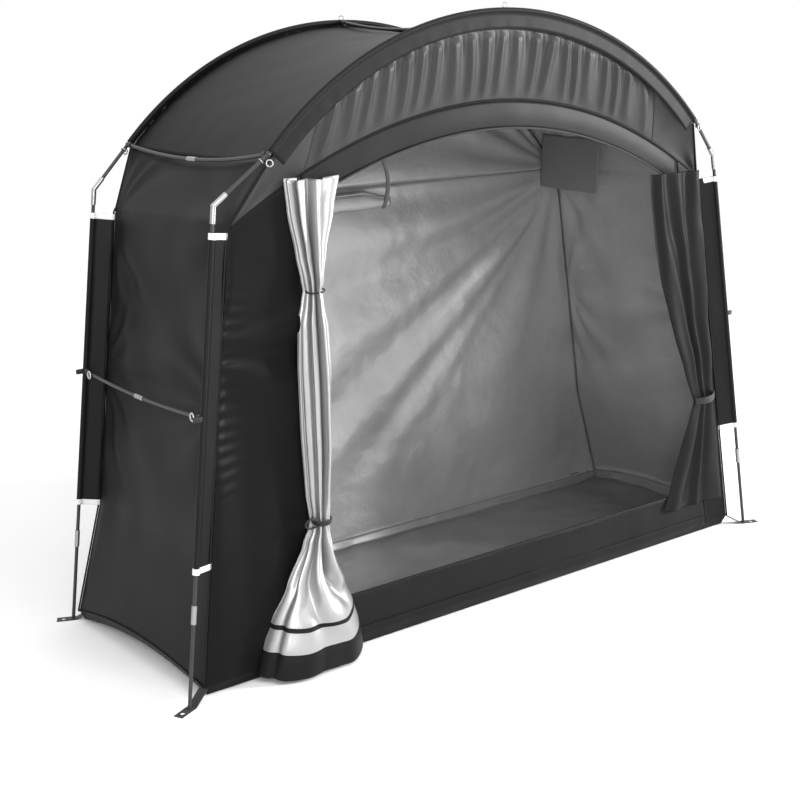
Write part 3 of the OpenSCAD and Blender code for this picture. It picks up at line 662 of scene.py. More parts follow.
def valanceWrinkle(p, u, v):
    across = 2 * u - 1
    band = 1 - valanceLook["bandShare"]
    place = across * valanceLook["gathers"] / 2
    drift = place + 0.45 * noise.noise(Vector((place * 0.55, v * 0.8, 4.4))) + 0.12 * (v - 0.5) * across
    strength = 0.75 + 0.6 * noise.noise(Vector((place * 0.7, v * 0.6, 2.2)))
    fold = 0.5 + 0.5 * math.cos(2 * math.pi * drift)
    small = 0.25 * (0.5 + 0.5 * math.cos(6 * math.pi * drift + 1.3)) * smooth((v / band - 0.55) / 0.4)
    share = min(1.0, v / band)
    held = smooth(share / 0.22) * smooth((1.0 - share) / 0.12)
    lean = 0.55 + 0.45 * share
    quiet = smooth((1 - abs(across)) / 0.06)
    belly = 0.006 * math.sin(math.pi * share)
    return quiet * (belly + held * lean * strength * valanceLook["depth"] * (fold ** 1.4 + small))


clothPiece("gatheredValance", valanceLook,
           lambda u, v: gablePoint(-1, (2 * u - 1) * shelter["gathered"], v), valanceWrinkle,
           facing(0, -1, 0))

# the gussets wear the lighter copy of the cover cloth, painted light
gussetLook = {"rows": 31, "cols": 31, "held": "stretched", "restsOn": ["front_arch_pole"], "pucker": 0.004,
              "outer": paintedLightFrontCloth}


def gussetWrinkle(p, u, v):
    quiet = smooth(min(u, 1 - u) / 0.12) * smooth(min(v, 1 - v) / 0.12)
    fan = creaseFan(abs(p.x), p.z, pullX, pullZ, 0.24, 9, 0.004)
    return quiet * (gussetLook["pucker"] * puckers(p, 7.0, 12) + fan)


for sx, sideName in ((-1, "left"), (1, "right")):
    look = dict(gussetLook, replaces=[sideName + "_gusset"])
    clothPiece(sideName + "Gusset", look,
               lambda u, v, sx=sx: gablePoint(-1, sx * mix(shelter["gathered"] + 0.001, 1.0, u), v),
               gussetWrinkle, facing(0, -1, 0))
print("front gable made")


# header band over the doorway
# the header wears the lighter copy of the cover cloth, painted light
headerLook = {
    "rows": 9, "cols": 141, "held": "stretched", "replaces": ["door_header"], "restsOn": ["front_arch_pole"],
    "outer": paintedLightHeaderCloth,
}
headerRight = eaveCorner.x - shelter["rightPanel"] - lapGap


def headerBase(u, v):
    x = mix(-shelter["doorLeft"] + lapGap, headerRight, u)
    return Vector((x, -seamY(x), seamZ(x) - sewnGap - (1 - v) * shelter["headerHeight"]))


def headerWrinkle(p, u, v):
    return 0.0018 * puckers(p, 9.0, 13) * smooth(min(u, 1 - u) / 0.05) + 0.003 * math.sin(math.pi * v)


clothPiece("doorHeader", headerLook, headerBase, headerWrinkle, facing(0, -1, 0))


# fixed panels beside the doorway and the sill under it
# the front panels wear the darker copy of the cover cloth, painted shade
frontPanelLook = {"rows": 181, "cols": 41, "held": "stretched", "restsOn": ["floor_sheet"], "pucker": 0.005,
                  "outer": paintedShadeCloth}


def leftPanelBase(u, v):
    topX = shelter["doorLeft"]
    inner = wallPoint(-1, -topX, v, seamZ(topX) - sewnGap, seamY(topX))
    outer = wallEdge(-1, -1, v) + Vector((cornerGap, 0, 0))
    p = mix(inner, outer, u)
    top = seamZ(p.x) - sewnGap
    return Vector((p.x, p.y, mix(p.z, top, smooth((v - 0.9) / 0.1))))


def rightPanelBase(u, v):
    edge = wallEdge(1, -1, v)
    topX = eaveCorner.x - shelter["rightPanel"]
    inner = wallPoint(-1, edge.x - shelter["rightPanel"], v, seamZ(topX) - sewnGap, seamY(topX))
    outer = edge - Vector((cornerGap, 0, 0))
    p = mix(inner, outer, u)
    top = seamZ(min(p.x, seamX)) - sewnGap
    return Vector((p.x, p.y, mix(p.z, top, smooth((v - 0.9) / 0.1))))


def leftPanelWrinkle(p, u, v):
    quiet = smooth(min(u, 1 - u) / 0.08) * smooth(v / 0.06) * smooth((1 - v) / 0.05)
    fan = creaseFan(p.x, p.z, -0.93, 0.84, 1.1, 8, 0.008)
    drop = 0.003 * math.sin(p.x * 42 + 1.5 * puckers(p, 2.0, 15)) * smooth((1.0 - p.z) / 0.5)
    gather = 0.0022 * math.sin(p.z * 190 + 2.0 * puckers(p, 9.0, 22))
    gather *= smooth((u - 0.62) / 0.3) * smooth((1 - u) / 0.03)
    soft = frontPanelLook["pucker"] * puckers(p, 3.2, 14) + 0.002 * puckers(p, 10.0, 16)
    return quiet * (soft + fan + drop) + gather * smooth((p.z - 0.45) / 0.1) * smooth((1.02 - p.z) / 0.1)


def rightPanelWrinkle(p, u, v):
    quiet = smooth(min(u, 1 - u) / 0.1) * smooth(v / 0.06) * smooth((1 - v) / 0.05)
    return quiet * 0.004 * puckers(p, 4.0, 17)


clothPiece("leftFrontPanel", dict(frontPanelLook, replaces=["left_front_panel"]), leftPanelBase, leftPanelWrinkle,
           facing(0, -1, 0))
clothPiece("rightFrontPanel", dict(frontPanelLook, cols=17, replaces=["right_front_panel"]), rightPanelBase,
           rightPanelWrinkle, facing(0, -1, 0))

sillLook = {"rows": 25, "cols": 181, "held": "stretched", "replaces": ["front_sill"], "restsOn": ["floor_sheet"]}


def sillBase(u, v):
    t = v * v * 0.35 + v * 0.65
    hemPart = 0.22
    if t < hemPart:
        f = smooth(t / hemPart)
        z, y = mix(baseZ, hemZ, f), mix(baseY, hemCorner.y, f)
    else:
        z = mix(hemZ, shelter["sillHeight"], (t - hemPart) / (1 - hemPart))
        y = cornerAt(1, 1, z).y
    right = (baseX if z < hemZ * 0.5 else cornerAt(1, 1, max(z, hemZ)).x) - shelter["rightPanel"] - lapGap
    return Vector((mix(-shelter["doorLeft"] + lapGap, right, u), -y, z))


def sillWrinkle(p, u, v):
    quiet = smooth(min(u, 1 - u) / 0.02) * smooth(v / 0.2)
    roll = 0.005 * math.exp(-((v - 0.97) / 0.05) ** 2)
    return quiet * (0.004 * puckers(p, 5.0, 18) + 0.002 * puckers(p, 14.0, 19)) + roll


clothPiece("frontSill", sillLook, sillBase, sillWrinkle, facing(0, -1, 0))
print("front walls made")

floorLook = {
    "rows": 61, "cols": 161, "held": "laid", "replaces": ["floor_sheet"], "restsOn": ["ground"],
    "outer": floorCloth, "inner": coverCloth, "slot": "floor", "thick": 0.0012, "out": -0.003, "upturn": 0.026,
}


def floorWrinkle(p, u, v):
    quiet = smooth(min(u, 1 - u) / 0.03) * smooth(min(v, 1 - v) / 0.06)
    ridges = max(0.0, puckers(p, 3.4, 20)) * 0.014 + max(0.0, puckers(p, 9.0, 21)) * 0.007
    ridges += 0.004 * (1 - abs(puckers(p, 5.0, 23))) ** 6
    return quiet * ridges


def floorBase(u, v):
    across, deep = math.sin(math.pi * (u - 0.5)), math.sin(math.pi * (v - 0.5))
    reach = baseX + rearFlare(1, 0) * (deep + 1) / 2 + floorLook["out"]
    lift = hemLift(deep, 0.0) * smooth((abs(across) - 0.88) / 0.12)
    edge = max(smooth((abs(across) - 0.984) / 0.016), smooth((abs(deep) - 0.95) / 0.05))
    return Vector((across * reach, deep * (baseY + floorLook["out"]),
                   shelter["floorTop"] - 0.0005 + lift + edge * floorLook["upturn"]))


clothPiece("floorSheet", floorLook, floorBase, floorWrinkle, facing(0, 0, 1))
print("floor made")


# sleeves that hold the poles: a doubled flap with the pole in its outer hem
sleeveLook = {"radius": 0.0064, "layer": 0.0012, "archWidth": 0.046, "legLow": 0.330, "band": 0.015,
              "cloth": 0.0006}


def sleeveProfile(width, bulge=0.0):
    r, layer = sleeveLook["radius"] + bulge, sleeveLook["layer"]
    opening = math.asin(min(0.9, layer / r))
    flapOut = [(mix(-width, -r * math.cos(opening), k / 5), layer) for k in range(5)]
    turn = [(-r * math.cos(opening + (2 * math.pi - 2 * opening) * k / 12),
             r * math.sin(opening + (2 * math.pi - 2 * opening) * k / 12)) for k in range(13)]
    flapBack = [(a, -b) for a, b in reversed(flapOut)]
    return flapOut + turn + flapBack


def sleevePiece(name, places, width, rippleAt, replaced):
    points = []
    cols = 0
    for i, (centre, outDir, sideDir) in enumerate(places):
        t = i / (len(places) - 1)
        profile = sleeveProfile(width)
        cols = len(profile)
        for a, b in profile:
            away = max(0.0, -a - sleeveLook["radius"]) / width
            points.append(centre + outDir * a + sideDir * (b + rippleAt(t, away)))
    faces = gridFaces(len(places), cols)
    piece = meshPiece(name, points, faces, [coverCloth], "cover")
    thicken(piece, sleeveLook["cloth"], 1.0)
    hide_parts(replaced)


def legPlaces(sx, sy, low, high, count):
    axis = (eavePoint(sx, sy) - footPoint(sx, sy)).normalized()
    inward = Vector((-sx * shelter["insetX"], -sy * shelter["insetY"], 0))
    inward = (inward - axis * inward.dot(axis)).normalized()
    side = axis.cross(inward)
    return [(legAt(sx, sy, mix(low, high, k / (count - 1))), -inward, side) for k in range(count)]


legWidth = math.hypot(shelter["insetX"], shelter["insetY"]) + 0.001
for sx, sy, legName in ((-1, -1, "front_left"), (1, -1, "front_right"), (-1, 1, "rear_left"), (1, 1, "rear_right")):
    words = legName.split("_")
    label = words[0] + words[1].capitalize()
    low, high = sleeveLook["legLow"], shelter["eaveHeight"]
    seed = 30 + sx + 2 * sy

    def rippleAt(t, away, seed=seed):
        return away * 0.006 * noise.noise(Vector((t * 5.0, seed, 0.3)))

    sleevePiece(label + "LegSleeve", legPlaces(sx, sy, low, high, 49), legWidth, rippleAt,
                legName + "_sleeve")

for sy, archName in ((-1, "front"), (1, "rear")):
    sleeveAngle = hubAngle - 0.0075
    places = []
    for k in range(161):
        angle = mix(-sleeveAngle, sleeveAngle, k / 160)
        outDir = Vector((math.sin(angle), 0, math.cos(angle)))
        places.append((archPoint(angle, sy * shelter["archDepth"] / 2), outDir, Vector((0, sy, 0))))

    def archRipple(t, away, sy=sy):
        return away * (0.0012 * noise.noise(Vector((t * 60.0, sy * 3.0, 0.7))) + 0.001)

    sleevePiece(archName + "ArchSleeve", places, sleeveLook["archWidth"], archRipple,
                archName + "_arch_sleeve")
print("sleeves made")


# reflective bands wrapped round both ends of each leg sleeve
def bandMesh(sx, sy, low):
    places = legPlaces(sx, sy, low, low + sleeveLook["band"], 5)
    points, cols = [], 0
    for centre, outDir, sideDir in places:
        profile = sleeveProfile(legWidth, 0.0012)
        cols = len(profile)
        for a, b in profile:
            lift = 0.0009 if b >= 0 else -0.0009
            points.append(centre + outDir * a + sideDir * (b + lift))
    return points, gridFaces(len(places), cols)


bandParts = [bandMesh(sx, sy, low) for sx in (-1, 1) for sy in (-1, 1)
             for low in (sleeveLook["legLow"], shelter["eaveHeight"] - sleeveLook["band"])]
bands = meshPiece("reflectiveBands", *joinMeshes(bandParts), [tapeCloth], "reflective")
thicken(bands, sleeveLook["cloth"], 1.0)
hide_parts("reflective_bands")


# left curtain: a door leaf gathered into soft folds, tied twice and spread like a skirt at its hem
leftCurtainLook = {
    "rows": 211, "cols": 181, "flatWidth": 0.43, "hemDepth": 0.009, "folds": 4.2, "hemFolds": 2.3,
    "tuckLayers": 3, "tuckSteps": 6, "tuckGap": 0.0025, "tuckBack": 0.85, "tuckLeast": 0.003, "tuckMost": 0.9,
    "rings": [  # height, place from the doorway's edge, half width, depth in front of the panel
        (1.226, 0.030, 0.078, 0.034), (1.150, 0.022, 0.064, 0.042), (1.050, 0.014, 0.040, 0.048),
        (0.985, 0.010, 0.025, 0.050), (0.960, 0.008, 0.019, 0.046), (0.935, 0.008, 0.025, 0.052),
        (0.880, 0.007, 0.038, 0.064), (0.760, 0.005, 0.043, 0.070), (0.600, 0.001, 0.041, 0.066),
        (0.450, -0.006, 0.030, 0.056), (0.402, -0.008, 0.022, 0.050), (0.383, -0.009, 0.018, 0.046),
        (0.362, -0.010, 0.023, 0.050), (0.330, -0.013, 0.037, 0.058), (0.220, -0.026, 0.080, 0.078),
        (0.135, -0.039, 0.118, 0.089), (0.075, -0.045, 0.138, 0.092), (0.010, -0.049, 0.149, 0.087),
    ],
    "hemTop": 0.074, "stripeLow": 0.124, "stripeHigh": 0.139, "stand": 0.006, "puff": 0.004, "thick": 0.0012,
    "rightLift": 0.030, "leftLift": 0.010, "turnIn": 0.030,
}


tieLook = {"cord": 0.0028, "upper": 0.960, "lower": 0.383, "loop": 0.036}


def ringAt(z):
    rings = leftCurtainLook["rings"]
    for high, low in zip(rings, rings[1:]):
        if low[0] <= z <= high[0]:
            t = (high[0] - z) / (high[0] - low[0])
            t = 0.5 * t + 0.5 * smooth(t)
            return [mix(a, b, t) for a, b in zip(high[1:], low[1:])]
    return rings[-1][1:] if z < rings[-1][0] else rings[0][1:]


def doorFace(x, z):
    slope = mix(hemCorner.y, seamY(x), min(1.0, max(0.0, (z - hemZ) / (seamZ(x) - hemZ))))
    return max(cornerAt(1, 1, min(max(z, hemZ), shelter["eaveHeight"])).y, slope)


# one level of the curtain: an arc in front of the panel, with folds that take up the spare cloth
def curtainLine(z, cols, fold):
    place, half, depth = ringAt(z)
    face = doorFace(shelter["doorLeft"], z)
    line = []
    for c in range(cols):
        s = c / (cols - 1)
        around = math.pi * (0.5 + (s - 0.5) * 1.16)
        outX, outY = -math.cos(around), -math.sin(around)
        drift = 0.34 * noise.noise(Vector((s * 3.1, z * 1.5, 1.1)))
        drift += 0.10 * noise.noise(Vector((s * 9.0, z * 3.0, 6.1)))
        count = mix(leftCurtainLook["folds"], leftCurtainLook["hemFolds"], smooth((0.36 - z) / 0.3))
        spread = 1 - (1 - s) ** 1.9
        phase = 2 * math.pi * (spread * count + drift) + 0.6
        strength = 0.85 + 0.5 * noise.noise(Vector((s * 4.0, z * 1.2, 5.5))) - 0.4 * smooth((s - 0.45) / 0.4)
        near = max(math.exp(-((z - tie) / 0.055) ** 2) for tie in (tieLook["upper"], tieLook["lower"]))
        wave = strength * (math.sin(phase) + 0.25 * math.sin(2 * phase + 0.8))
        wave += 0.5 * near * math.sin(46 * s + 3 * drift) * math.sin(math.pi * s)
        inward = fold * (wave - 0.7) * math.sin(math.pi * min(1, max(0, s))) ** 0.35
        x = -shelter["doorLeft"] + place + outX * (half + inward * 0.8)
        y = -face - leftCurtainLook["stand"] + outY * (depth + inward)
        puff = leftCurtainLook["puff"] * smooth((leftCurtainLook["hemTop"] - z) / 0.02)
        low = smooth((0.34 - z) / 0.22)
        lift = leftCurtainLook["rightLift"] * smooth((s - 0.62) / 0.38)
        lift += leftCurtainLook["leftLift"] * smooth((0.3 - s) / 0.3)
        lift += 0.004 * noise.noise(Vector((s * 7.0, 0.4, 8.8)))
        top = 0.010 * noise.noise(Vector((s * 5.0, 0.2, 3.3))) * smooth((z - 1.10) / 0.12)
        line.append(Vector((x + outX * puff, min(y + outY * puff, -face - 0.003), z + low * lift + top)))
    return line


def lineLength(line):
    return sum((a - b).length for a, b in zip(line, line[1:]))


# the leaf's two edges lie folded behind the bundle and take up the cloth that its front doesn't show
def tuckedLine(line, half):
    layers, steps, back = (leftCurtainLook[key] for key in ("tuckLayers", "tuckSteps", "tuckBack"))
    spare = leftCurtainLook["flatWidth"] - lineLength(line)
    run = spare / (2 * (1 + back * (layers - 1)))
    run = max(leftCurtainLook["tuckLeast"], min(leftCurtainLook["tuckMost"] * half, run))
    tucks = []
    for end, towards in ((line[0], 1), (line[-1], -1)):
        path = []
        for k in range(1, layers * steps + 1):
            turn = k / steps
            across = turn if turn <= 1 else 1 - back * (1 - abs((turn - 1) % 2 - 1))
            path.append(end + Vector((towards * run * across, -leftCurtainLook["tuckGap"] * turn, 0)))
        tucks.append(path)
    return tucks[0][::-1] + line + tucks[1]


def leftCurtainGrid():
    rows, cols = leftCurtainLook["rows"], leftCurtainLook["cols"]
    top, low = leftCurtainLook["rings"][0][0], leftCurtainLook["rings"][-1][0]
    grid = []
    for r in range(rows):
        z = mix(top, low, r / (rows - 1))
        half, depth = ringAt(z)[1:]
        deepest = 0.36 * min(half, depth) + 0.004
        least, most = 0.0, mix(deepest, leftCurtainLook["hemDepth"], smooth((0.33 - z) / 0.22))
        for step in range(7):
            fold = (least + most) / 2
            if lineLength(curtainLine(z, 81, fold)) < leftCurtainLook["flatWidth"]:
                least = fold
            else:
                most = fold
        grid.append(tuckedLine(curtainLine(z, cols, (least + most) / 2), half))
    return grid


def makeLeftCurtain():
    grid = leftCurtainGrid()
    rows, cols = len(grid), len(grid[0])
    points = [p for line in grid for p in line]
    piece = meshPiece("leftCurtain", points, gridFaces(rows, cols), [curtainCloth, coverCloth], "lining")
    low, high = leftCurtainLook["stripeLow"], leftCurtainLook["stripeHigh"]
    top, last = leftCurtainLook["rings"][0][0], leftCurtainLook["rings"][-1][0]
    for i, face in enumerate(piece.data.polygons):
        z = mix(top, last, (i // (cols - 1) + 0.5) / (rows - 1))
        if z < leftCurtainLook["hemTop"] or low < z < high:
            face.material_index = 1
    thicken(piece, leftCurtainLook["thick"], 0.0)
    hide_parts("left_curtain", "left_curtain_hem")


makeLeftCurtain()


# cord ties round the gathered curtain, the lower one with a loose loop
def tiePath(z, spare):
    place, half, depth = ringAt(z)
    face = doorFace(shelter["doorLeft"], z)
    path = []
    for k in range(41):
        a = 2 * math.pi * k / 40
        path.append(Vector((-shelter["doorLeft"] + place + (half + spare) * math.cos(a),
                            -face - leftCurtainLook["stand"] - depth * 0.48 + (depth * 0.52 + spare) * math.sin(a),
                            z + 0.003 * math.sin(a + 1.0))))
    return path


def loopPath(z):
    place, half, depth = ringAt(z)
    start = Vector((-shelter["doorLeft"] + place - half, -doorFace(shelter["doorLeft"], z) - depth * 0.9, z))
    reach = tieLook["loop"]
    path = []
    for k in range(31):
        a = 2 * math.pi * k / 30
        path.append(start + Vector((-reach * 0.5 * (1 - math.cos(a)), -0.004 * math.sin(a),
                                    0.013 * math.sin(a) + 0.006 * math.sin(a / 2))))
    return path


tieParts = [tubeMesh(tiePath(tieLook["upper"], 0.002), tieLook["cord"] * 0.8),
            tubeMesh(tiePath(tieLook["lower"], 0.003), tieLook["cord"]),
            tubeMesh(tiePath(tieLook["lower"] + 0.007, 0.003), tieLook["cord"]),
            tubeMesh(loopPath(tieLook["lower"]), tieLook["cord"])]
curtainTies = meshPiece("curtainTies", *joinMeshes(tieParts), [webbingCloth], "webbing")
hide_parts("left_curtain_ties")
print("left curtain made")

# right curtain: drawn aside by a webbing tie, with its free edge falling back below
rightCurtainLook = {
    "rows": 141, "cols": 81, "held": "gathered", "restsOn": ["door_header"], "replaces": ["right_curtain"],
    "top": 1.146, "low": 0.110, "tie": 0.440, "topEdge": 0.563, "lowEdge": 0.648, "tieEdge": 0.778,
    "folds": 2.6, "depth": 0.016, "ease": 1.05,
}


def rightInner(z):
    look = rightCurtainLook
    if z > look["tie"]:
        t = (look["top"] - z) / (look["top"] - look["tie"])
        return mix(look["topEdge"], look["tieEdge"], max(t, 0) ** 1.6)
    return mix(look["tieEdge"], look["lowEdge"], (look["tie"] - z) / (look["tie"] - look["low"]))


def rightCurtainBase(u, v):
    look = rightCurtainLook
    z = mix(look["low"], look["top"], v)
    corner = cornerAt(1, 1, min(z, shelter["eaveHeight"]))
    outer = corner.x - 0.022
    face = max(corner.y, mix(hemCorner.y, seamY(0.69), min(1, z / seamZ(0.69))))
    lean = shelter["seamOut"] * 0.5 * smooth((z - look["tie"]) / (look["top"] - look["tie"]))
    return Vector((mix(rightInner(z), outer, u), -face - 0.006 - lean, z))


def rightCurtainWrinkle(p, u, v):
    look = rightCurtainLook
    drift = 0.5 * noise.noise(Vector((u * 3.0, p.z * 2.0, 2.5)))
    fold = 0.5 - 0.5 * math.cos(2 * math.pi * (u * look["folds"] + drift))
    pinch = 0.45 + 0.55 * smooth(abs(p.z - look["tie"]) / 0.18)
    quiet = smooth((1 - u) / 0.08)
    return quiet * look["depth"] * pinch * (fold + 0.3 * puckers(p, 9.0, 41))


clothPiece("rightCurtain", rightCurtainLook, rightCurtainBase, rightCurtainWrinkle, facing(0, -1, 0))
print("right curtain made")

# webbing that holds the right curtain back
rightTieLook = {"rows": 5, "cols": 41, "held": "stretched", "restsOn": ["right_curtain"], "width": 0.020,
                "outer": webbingCloth, "inner": webbingCloth, "slot": "webbing", "replaces": ["right_curtain_tie"]}


def rightTieBase(u, v):
    look = rightCurtainLook
    z = look["tie"] + (v - 0.5) * rightTieLook["width"]
    inner = look["tieEdge"] - 0.004
    outer = cornerAt(1, 1, z).x - 0.024
    lift = 0.030 * math.sin(math.pi * (0.12 + 0.8 * u))
    return Vector((mix(inner, outer, u), -doorFace(0.69, z) - 0.006 - lift, z + 0.012 * u))


clothPiece("rightCurtainTie", rightTieLook, rightTieBase, lambda p, u, v: 0.0, facing(0, -1, 0))


# dark flap inside the right end wall, hung from a sewn strip
ventLook = {
    "rows": 25, "cols": 25, "held": "hung", "restsOn": ["right_end_wall"], "replaces": ["vent_flap"],
    "outer": ventCloth, "inner": ventCloth, "slot": "vent", "front": 0.04, "rear": 0.82, "rise": 0.74, "drop": 0.168,
}


def ventBase(u, v):
    top = slopePoint(1, mix(ventLook["front"], ventLook["rear"], u), ventLook["rise"])
    return top - Vector((0.006 + 0.010 * (1 - v), 0, ventLook["drop"] * (1 - v)))


clothPiece("ventFlap", ventLook, ventBase, lambda p, u, v: 0.0015 * puckers(p, 12.0, 51),
           facing(-1, 0, 0))


# window flap rolled up on the rear wall, a loose spiral with its free edge folded forward
rollLook = {"rows": 61, "cols": 81, "right": 0.095, "length": 0.360, "height": 1.086, "tall": 0.030, "deep": 0.010,
            "turns": 2.3, "inner": 0.45, "thick": 0.0008}


def rollGrid():
    grid = []
    for r in range(rollLook["rows"]):
        t = r / (rollLook["rows"] - 1)
        x = rollLook["right"] - rollLook["length"] * (1 - t)
        face = cornerAt(1, 1, shelter["eaveHeight"]).y
        sag = 0.006 * math.sin(math.pi * t) + 0.003 * noise.noise(Vector((t * 6, 1.3, 0.2)))
        line = []
        for c in range(rollLook["cols"]):
            s = c / (rollLook["cols"] - 1)
            a = 2 * math.pi * rollLook["turns"] * s + 0.5
            size = mix(rollLook["inner"], 1.0, s) * (1 + 0.10 * noise.noise(Vector((t * 7, s * 5, 2.2))))
            y = face - 0.005 - rollLook["deep"] + rollLook["deep"] * 0.92 * size * math.cos(a)
            size *= 1 - 0.5 * smooth((t - 0.72) / 0.28)
            drop = 0.014 * smooth((t - 0.7) / 0.3)
            line.append(Vector((x, y, rollLook["height"] - sag - drop + rollLook["tall"] * size * math.sin(a))))
        grid.append(line)
    return grid


def makeRoll():
    grid = rollGrid()
    points = [p for line in grid for p in line]
    piece = meshPiece("rolledFlap", points, gridFaces(len(grid), len(grid[0])), [liningCloth], "lining")
    thicken(piece, rollLook["thick"], 0.0)
    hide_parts("rolled_flap")


makeRoll()


# webbing strap that hangs behind the header
strapLook = {"rows": 41, "cols": 5, "held": "hung", "restsOn": ["door_header"], "replaces": ["door_strap"],
             "outer": webbingCloth, "inner": webbingCloth, "slot": "webbing", "place": -0.360, "wide": 0.012,
             "length": 0.130, "sewn": 0.009, "thick": 0.0016}


def strapBase(u, v):
    x = strapLook["place"]
    top = seamZ(x) - sewnGap - shelter["headerHeight"] + strapLook["sewn"]
    drop = strapLook["length"] * (1 - v)
    sway = 0.018 * math.sin(math.pi * 0.92 * (1 - v))
    return Vector((x + (u - 0.5) * strapLook["wide"] + sway, -seamY(x) + 0.006 + 0.006 * (1 - v), top - drop))


clothPiece("doorStrap", strapLook, strapBase, lambda p, u, v: 0.0, facing(0, -1, 0))
print("inside trim made")


# piping along the sewn edges
pipingLook = {"corner": 0.0026, "seam": 0.0018, "zip": 0.0026, "sill": 0.0040, "hem": 0.0024}


def spread(count):
    return [k / (count - 1) for k in range(count)]


cornerPaths = []
for sx in (-1, 1):
    for sy in (-1, 1):
        out = Vector((sx * 0.0012, sy * 0.0014, 0))
        wall = [wallEdge(sx, sy, mix(hemShare, 1.0, t)) + out for t in spread(60)]
        gable = [gablePoint(sy, sx, t) + out for t in spread(16)][1:]
        cornerPaths.append(wall + gable)
pipingPiece("cornerPiping", cornerPaths, pipingLook["corner"])

frontSeam = [Vector((x, -seamY(x) - 0.001, seamZ(x))) for x in (mix(-seamX, seamX, t) for t in spread(120))]
rearSeam = [Vector((mix(-seamX, seamX, t), eaveCorner.y + 0.0016, shelter["eaveHeight"])) for t in spread(60)]
pipingPiece("gableSeams", [frontSeam, rearSeam], pipingLook["seam"])

zipPath = [headerBase(t, 0.0) + Vector((0, -0.002, 0)) for t in spread(120)]
pipingPiece("doorZip", [zipPath], pipingLook["zip"], webbingCloth, "webbing")

sillTop = [sillBase(t, 1.0) + Vector((0, -0.003, 0)) for t in spread(80)]
sillSeam = [sillBase(t, 0.45) + Vector((0, -0.0015, 0)) for t in spread(80)]
pipingPiece("sillEdge", [sillTop], pipingLook["sill"])
pipingPiece("sillSeam", [sillSeam], pipingLook["seam"])

hemPaths = [[endWallBase(sx, t, hemShare * (1 - endWallLook["slopeShare"])) + Vector((sx * 0.001, 0, 0))
             for t in spread(50)] for sx in (-1, 1)]
hemPaths.append([rearBase(t, hemShare) + Vector((0, 0.001, 0)) for t in spread(90)])
pipingPiece("hemPiping", hemPaths, pipingLook["hem"])


# wire ring, for the washers and the hanging rings
def ringMesh(centre, axis, radius, wire, sides=10, count=28):
    side = axis.orthogonal().normalized()
    other = axis.cross(side).normalized()
    points, faces = [], []
    for k in range(count):
        a = 2 * math.pi * k / count
        out = side * math.cos(a) + other * math.sin(a)
        for j in range(sides):
            b = 2 * math.pi * j / sides
            points.append(centre + out * (radius + wire * math.cos(b)) + axis * (wire * math.sin(b)))
    for k in range(count):
        for j in range(sides):
            n, m = (k + 1) % count, (j + 1) % sides
            faces.append((k * sides + j, k * sides + m, n * sides + m, n * sides + j))
    return points, faces


fittingLook = {"washer": 0.0090, "washerWire": 0.0032, "washerIn": 0.042, "ring": 0.0075, "ringWire": 0.0017,
               "loopOut": 0.020, "loopWide": 0.012,
               "ridgeRing": 0.0065, "ridgeWire": 0.0015, "ridgeUp": 0.012}
# metal washers where the side spreaders meet the end walls
washerParts = []
for sx in (-1, 1):
    for sy in (-1, 1):
        leg = legAt(sx, sy, shelter["sideHeight"])
        place = Vector((leg.x + sx * 0.007, leg.y - sy * fittingLook["washerIn"], leg.z - 0.004))
        washerParts.append(ringMesh(place, Vector((1, 0, 0)), fittingLook["washer"], fittingLook["washerWire"]))
meshPiece("wallWashers", *joinMeshes(washerParts), [steelFinish], "metal")


# folded webbing tab on the outside of each leg
def tabMesh(sx, sy):
    leg = legAt(sx, sy, shelter["sideHeight"])
    half = fittingLook["loopWide"] / 2
    points = []
    for dz in (-half, half):
        for side in (0.0030, 0.0014):
            for k in range(13):
                a = math.pi * (k / 12 - 0.5)
                reach = 0.004 + (fittingLook["loopOut"] + side) * math.cos(a)
                points.append(leg + Vector((sx * reach, (0.002 + side) * math.sin(a), dz)))
    outerLow, innerLow, outerHigh, innerHigh = (list(range(k * 13, k * 13 + 13)) for k in range(4))
    faces = []
    for one, two in ((outerLow, outerHigh), (outerHigh, innerHigh), (innerHigh, innerLow), (innerLow, outerLow)):
        faces += [(one[k], one[k + 1], two[k + 1], two[k]) for k in range(12)]
    faces += [(outerLow[k], outerHigh[k], innerHigh[k], innerLow[k]) for k in (0, 12)]
    return points, faces


tabs = [tabMesh(sx, sy) for sx in (-1, 1) for sy in (-1, 1)]
meshPiece("legTabs", *joinMeshes(tabs), [webbingCloth], "webbing")

# small rings that hang from the hubs, and one at each end of the ridge
ringParts = []
for sx in (-1, 1):
    for sy in (-1, 1):
        place = hubPoint(sx, sy) + Vector((sx * 0.004, sy * 0.011, -0.019))
        turn = Vector((0.35 * sx, sy, 0.1)).normalized()
        ringParts.append(ringMesh(place, turn, fittingLook["ring"], fittingLook["ringWire"]))
for sy in (-1, 1):
    top = archPoint(0.0, sy * shelter["archDepth"] / 2) + Vector((0, 0, fittingLook["ridgeUp"]))
    turn = Vector((0.5, 1, 0.1)).normalized()
    ringParts.append(ringMesh(top, turn, fittingLook["ridgeRing"], fittingLook["ridgeWire"]))
meshPiece("hubHangRings", *joinMeshes(ringParts), [steelFinish], "metal")
print("seams and fittings made")

# plain studio: pale floor, white surroundings, soft lights
studio = {
    "floorTone": (0.99, 0.99, 0.99), "floorHalf": 60.0, "worldLight": 0.50, "skyLight": 1.6,
    "lamps": [  # place, aim, size, power
        ((5.0, -3.8, 2.0), (-0.4, 0.1, 0.8), 1.0, 480.0),
        ((0.6, -4.6, 4.2), (0.2, -0.2, 1.3), 2.0, 110.0),
        ((-3.0, -4.2, 1.9), (0.8, 0.1, 0.7), 1.6, 85.0),
    ],
}


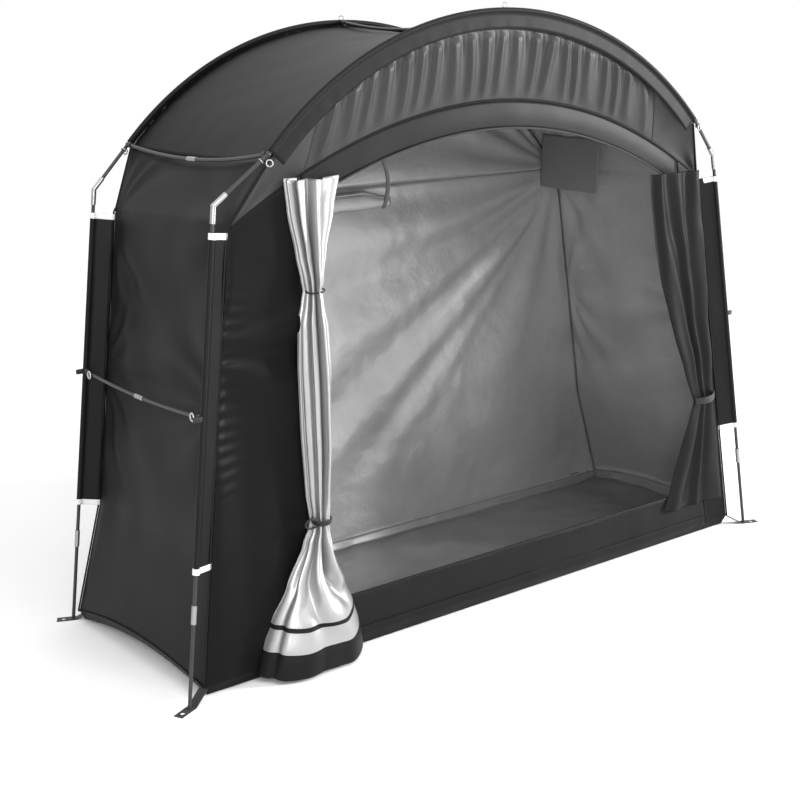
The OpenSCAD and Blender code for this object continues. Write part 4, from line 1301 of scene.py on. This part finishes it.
def makeStudio(look):
    half = look["floorHalf"]
    mesh = bpy.data.meshes.new("studioFloor")
    mesh.from_pydata([(-half, -half, 0), (half, -half, 0), (half, half, 0), (-half, half, 0)], [], [(0, 1, 2, 3)])
    floor = bpy.data.objects.new("studioFloor", mesh)
    bpy.context.scene.collection.objects.link(floor)
    material, tree, shader = startMaterial("studioFloor")
    shader.inputs["Base Color"].default_value = (*look["floorTone"], 1)
    shader.inputs["Roughness"].default_value = 0.9
    shader.inputs["Specular IOR Level"].default_value = 0.0
    mesh.materials.append(material)
    world = bpy.data.worlds.new("studioWorld")
    bpy.context.scene.world = world
    world.use_nodes = True
    nodes, links = world.node_tree.nodes, world.node_tree.links
    soft = nodes["Background"]
    soft.inputs["Color"].default_value = (1, 1, 1, 1)
    soft.inputs["Strength"].default_value = look["worldLight"]
    white = nodes.new("ShaderNodeBackground")
    white.inputs["Color"].default_value = (1, 1, 1, 1)
    white.inputs["Strength"].default_value = 1.0
    path = nodes.new("ShaderNodeLightPath")
    seen = addMath(world.node_tree, "MAXIMUM", path.outputs["Is Camera Ray"], path.outputs["Is Glossy Ray"])
    seen = addMath(world.node_tree, "MAXIMUM", seen, path.outputs["Is Transmission Ray"])
    choose = nodes.new("ShaderNodeMixShader")
    links.new(seen, choose.inputs[0])
    links.new(soft.outputs[0], choose.inputs[1])
    links.new(white.outputs[0], choose.inputs[2])
    links.new(choose.outputs[0], nodes["World Output"].inputs["Surface"])
    sky = bpy.data.lights.new("overheadSky", "SUN")
    sky.energy = look["skyLight"]
    sky.angle = math.radians(120)
    overhead = bpy.data.objects.new("overheadSky", sky)
    bpy.context.scene.collection.objects.link(overhead)
    for i, (place, aim, size, power) in enumerate(look["lamps"]):
        data = bpy.data.lights.new("softLamp%d" % i, "AREA")
        data.size = size
        data.energy = power
        lamp = bpy.data.objects.new("softLamp%d" % i, data)
        lamp.location = place
        lamp.rotation_euler = (Vector(aim) - Vector(place)).to_track_quat("-Z", "Y").to_euler()
        bpy.context.scene.collection.objects.link(lamp)
    bpy.context.scene.view_settings.view_transform = "Standard"


makeStudio(studio)
print("studio made")
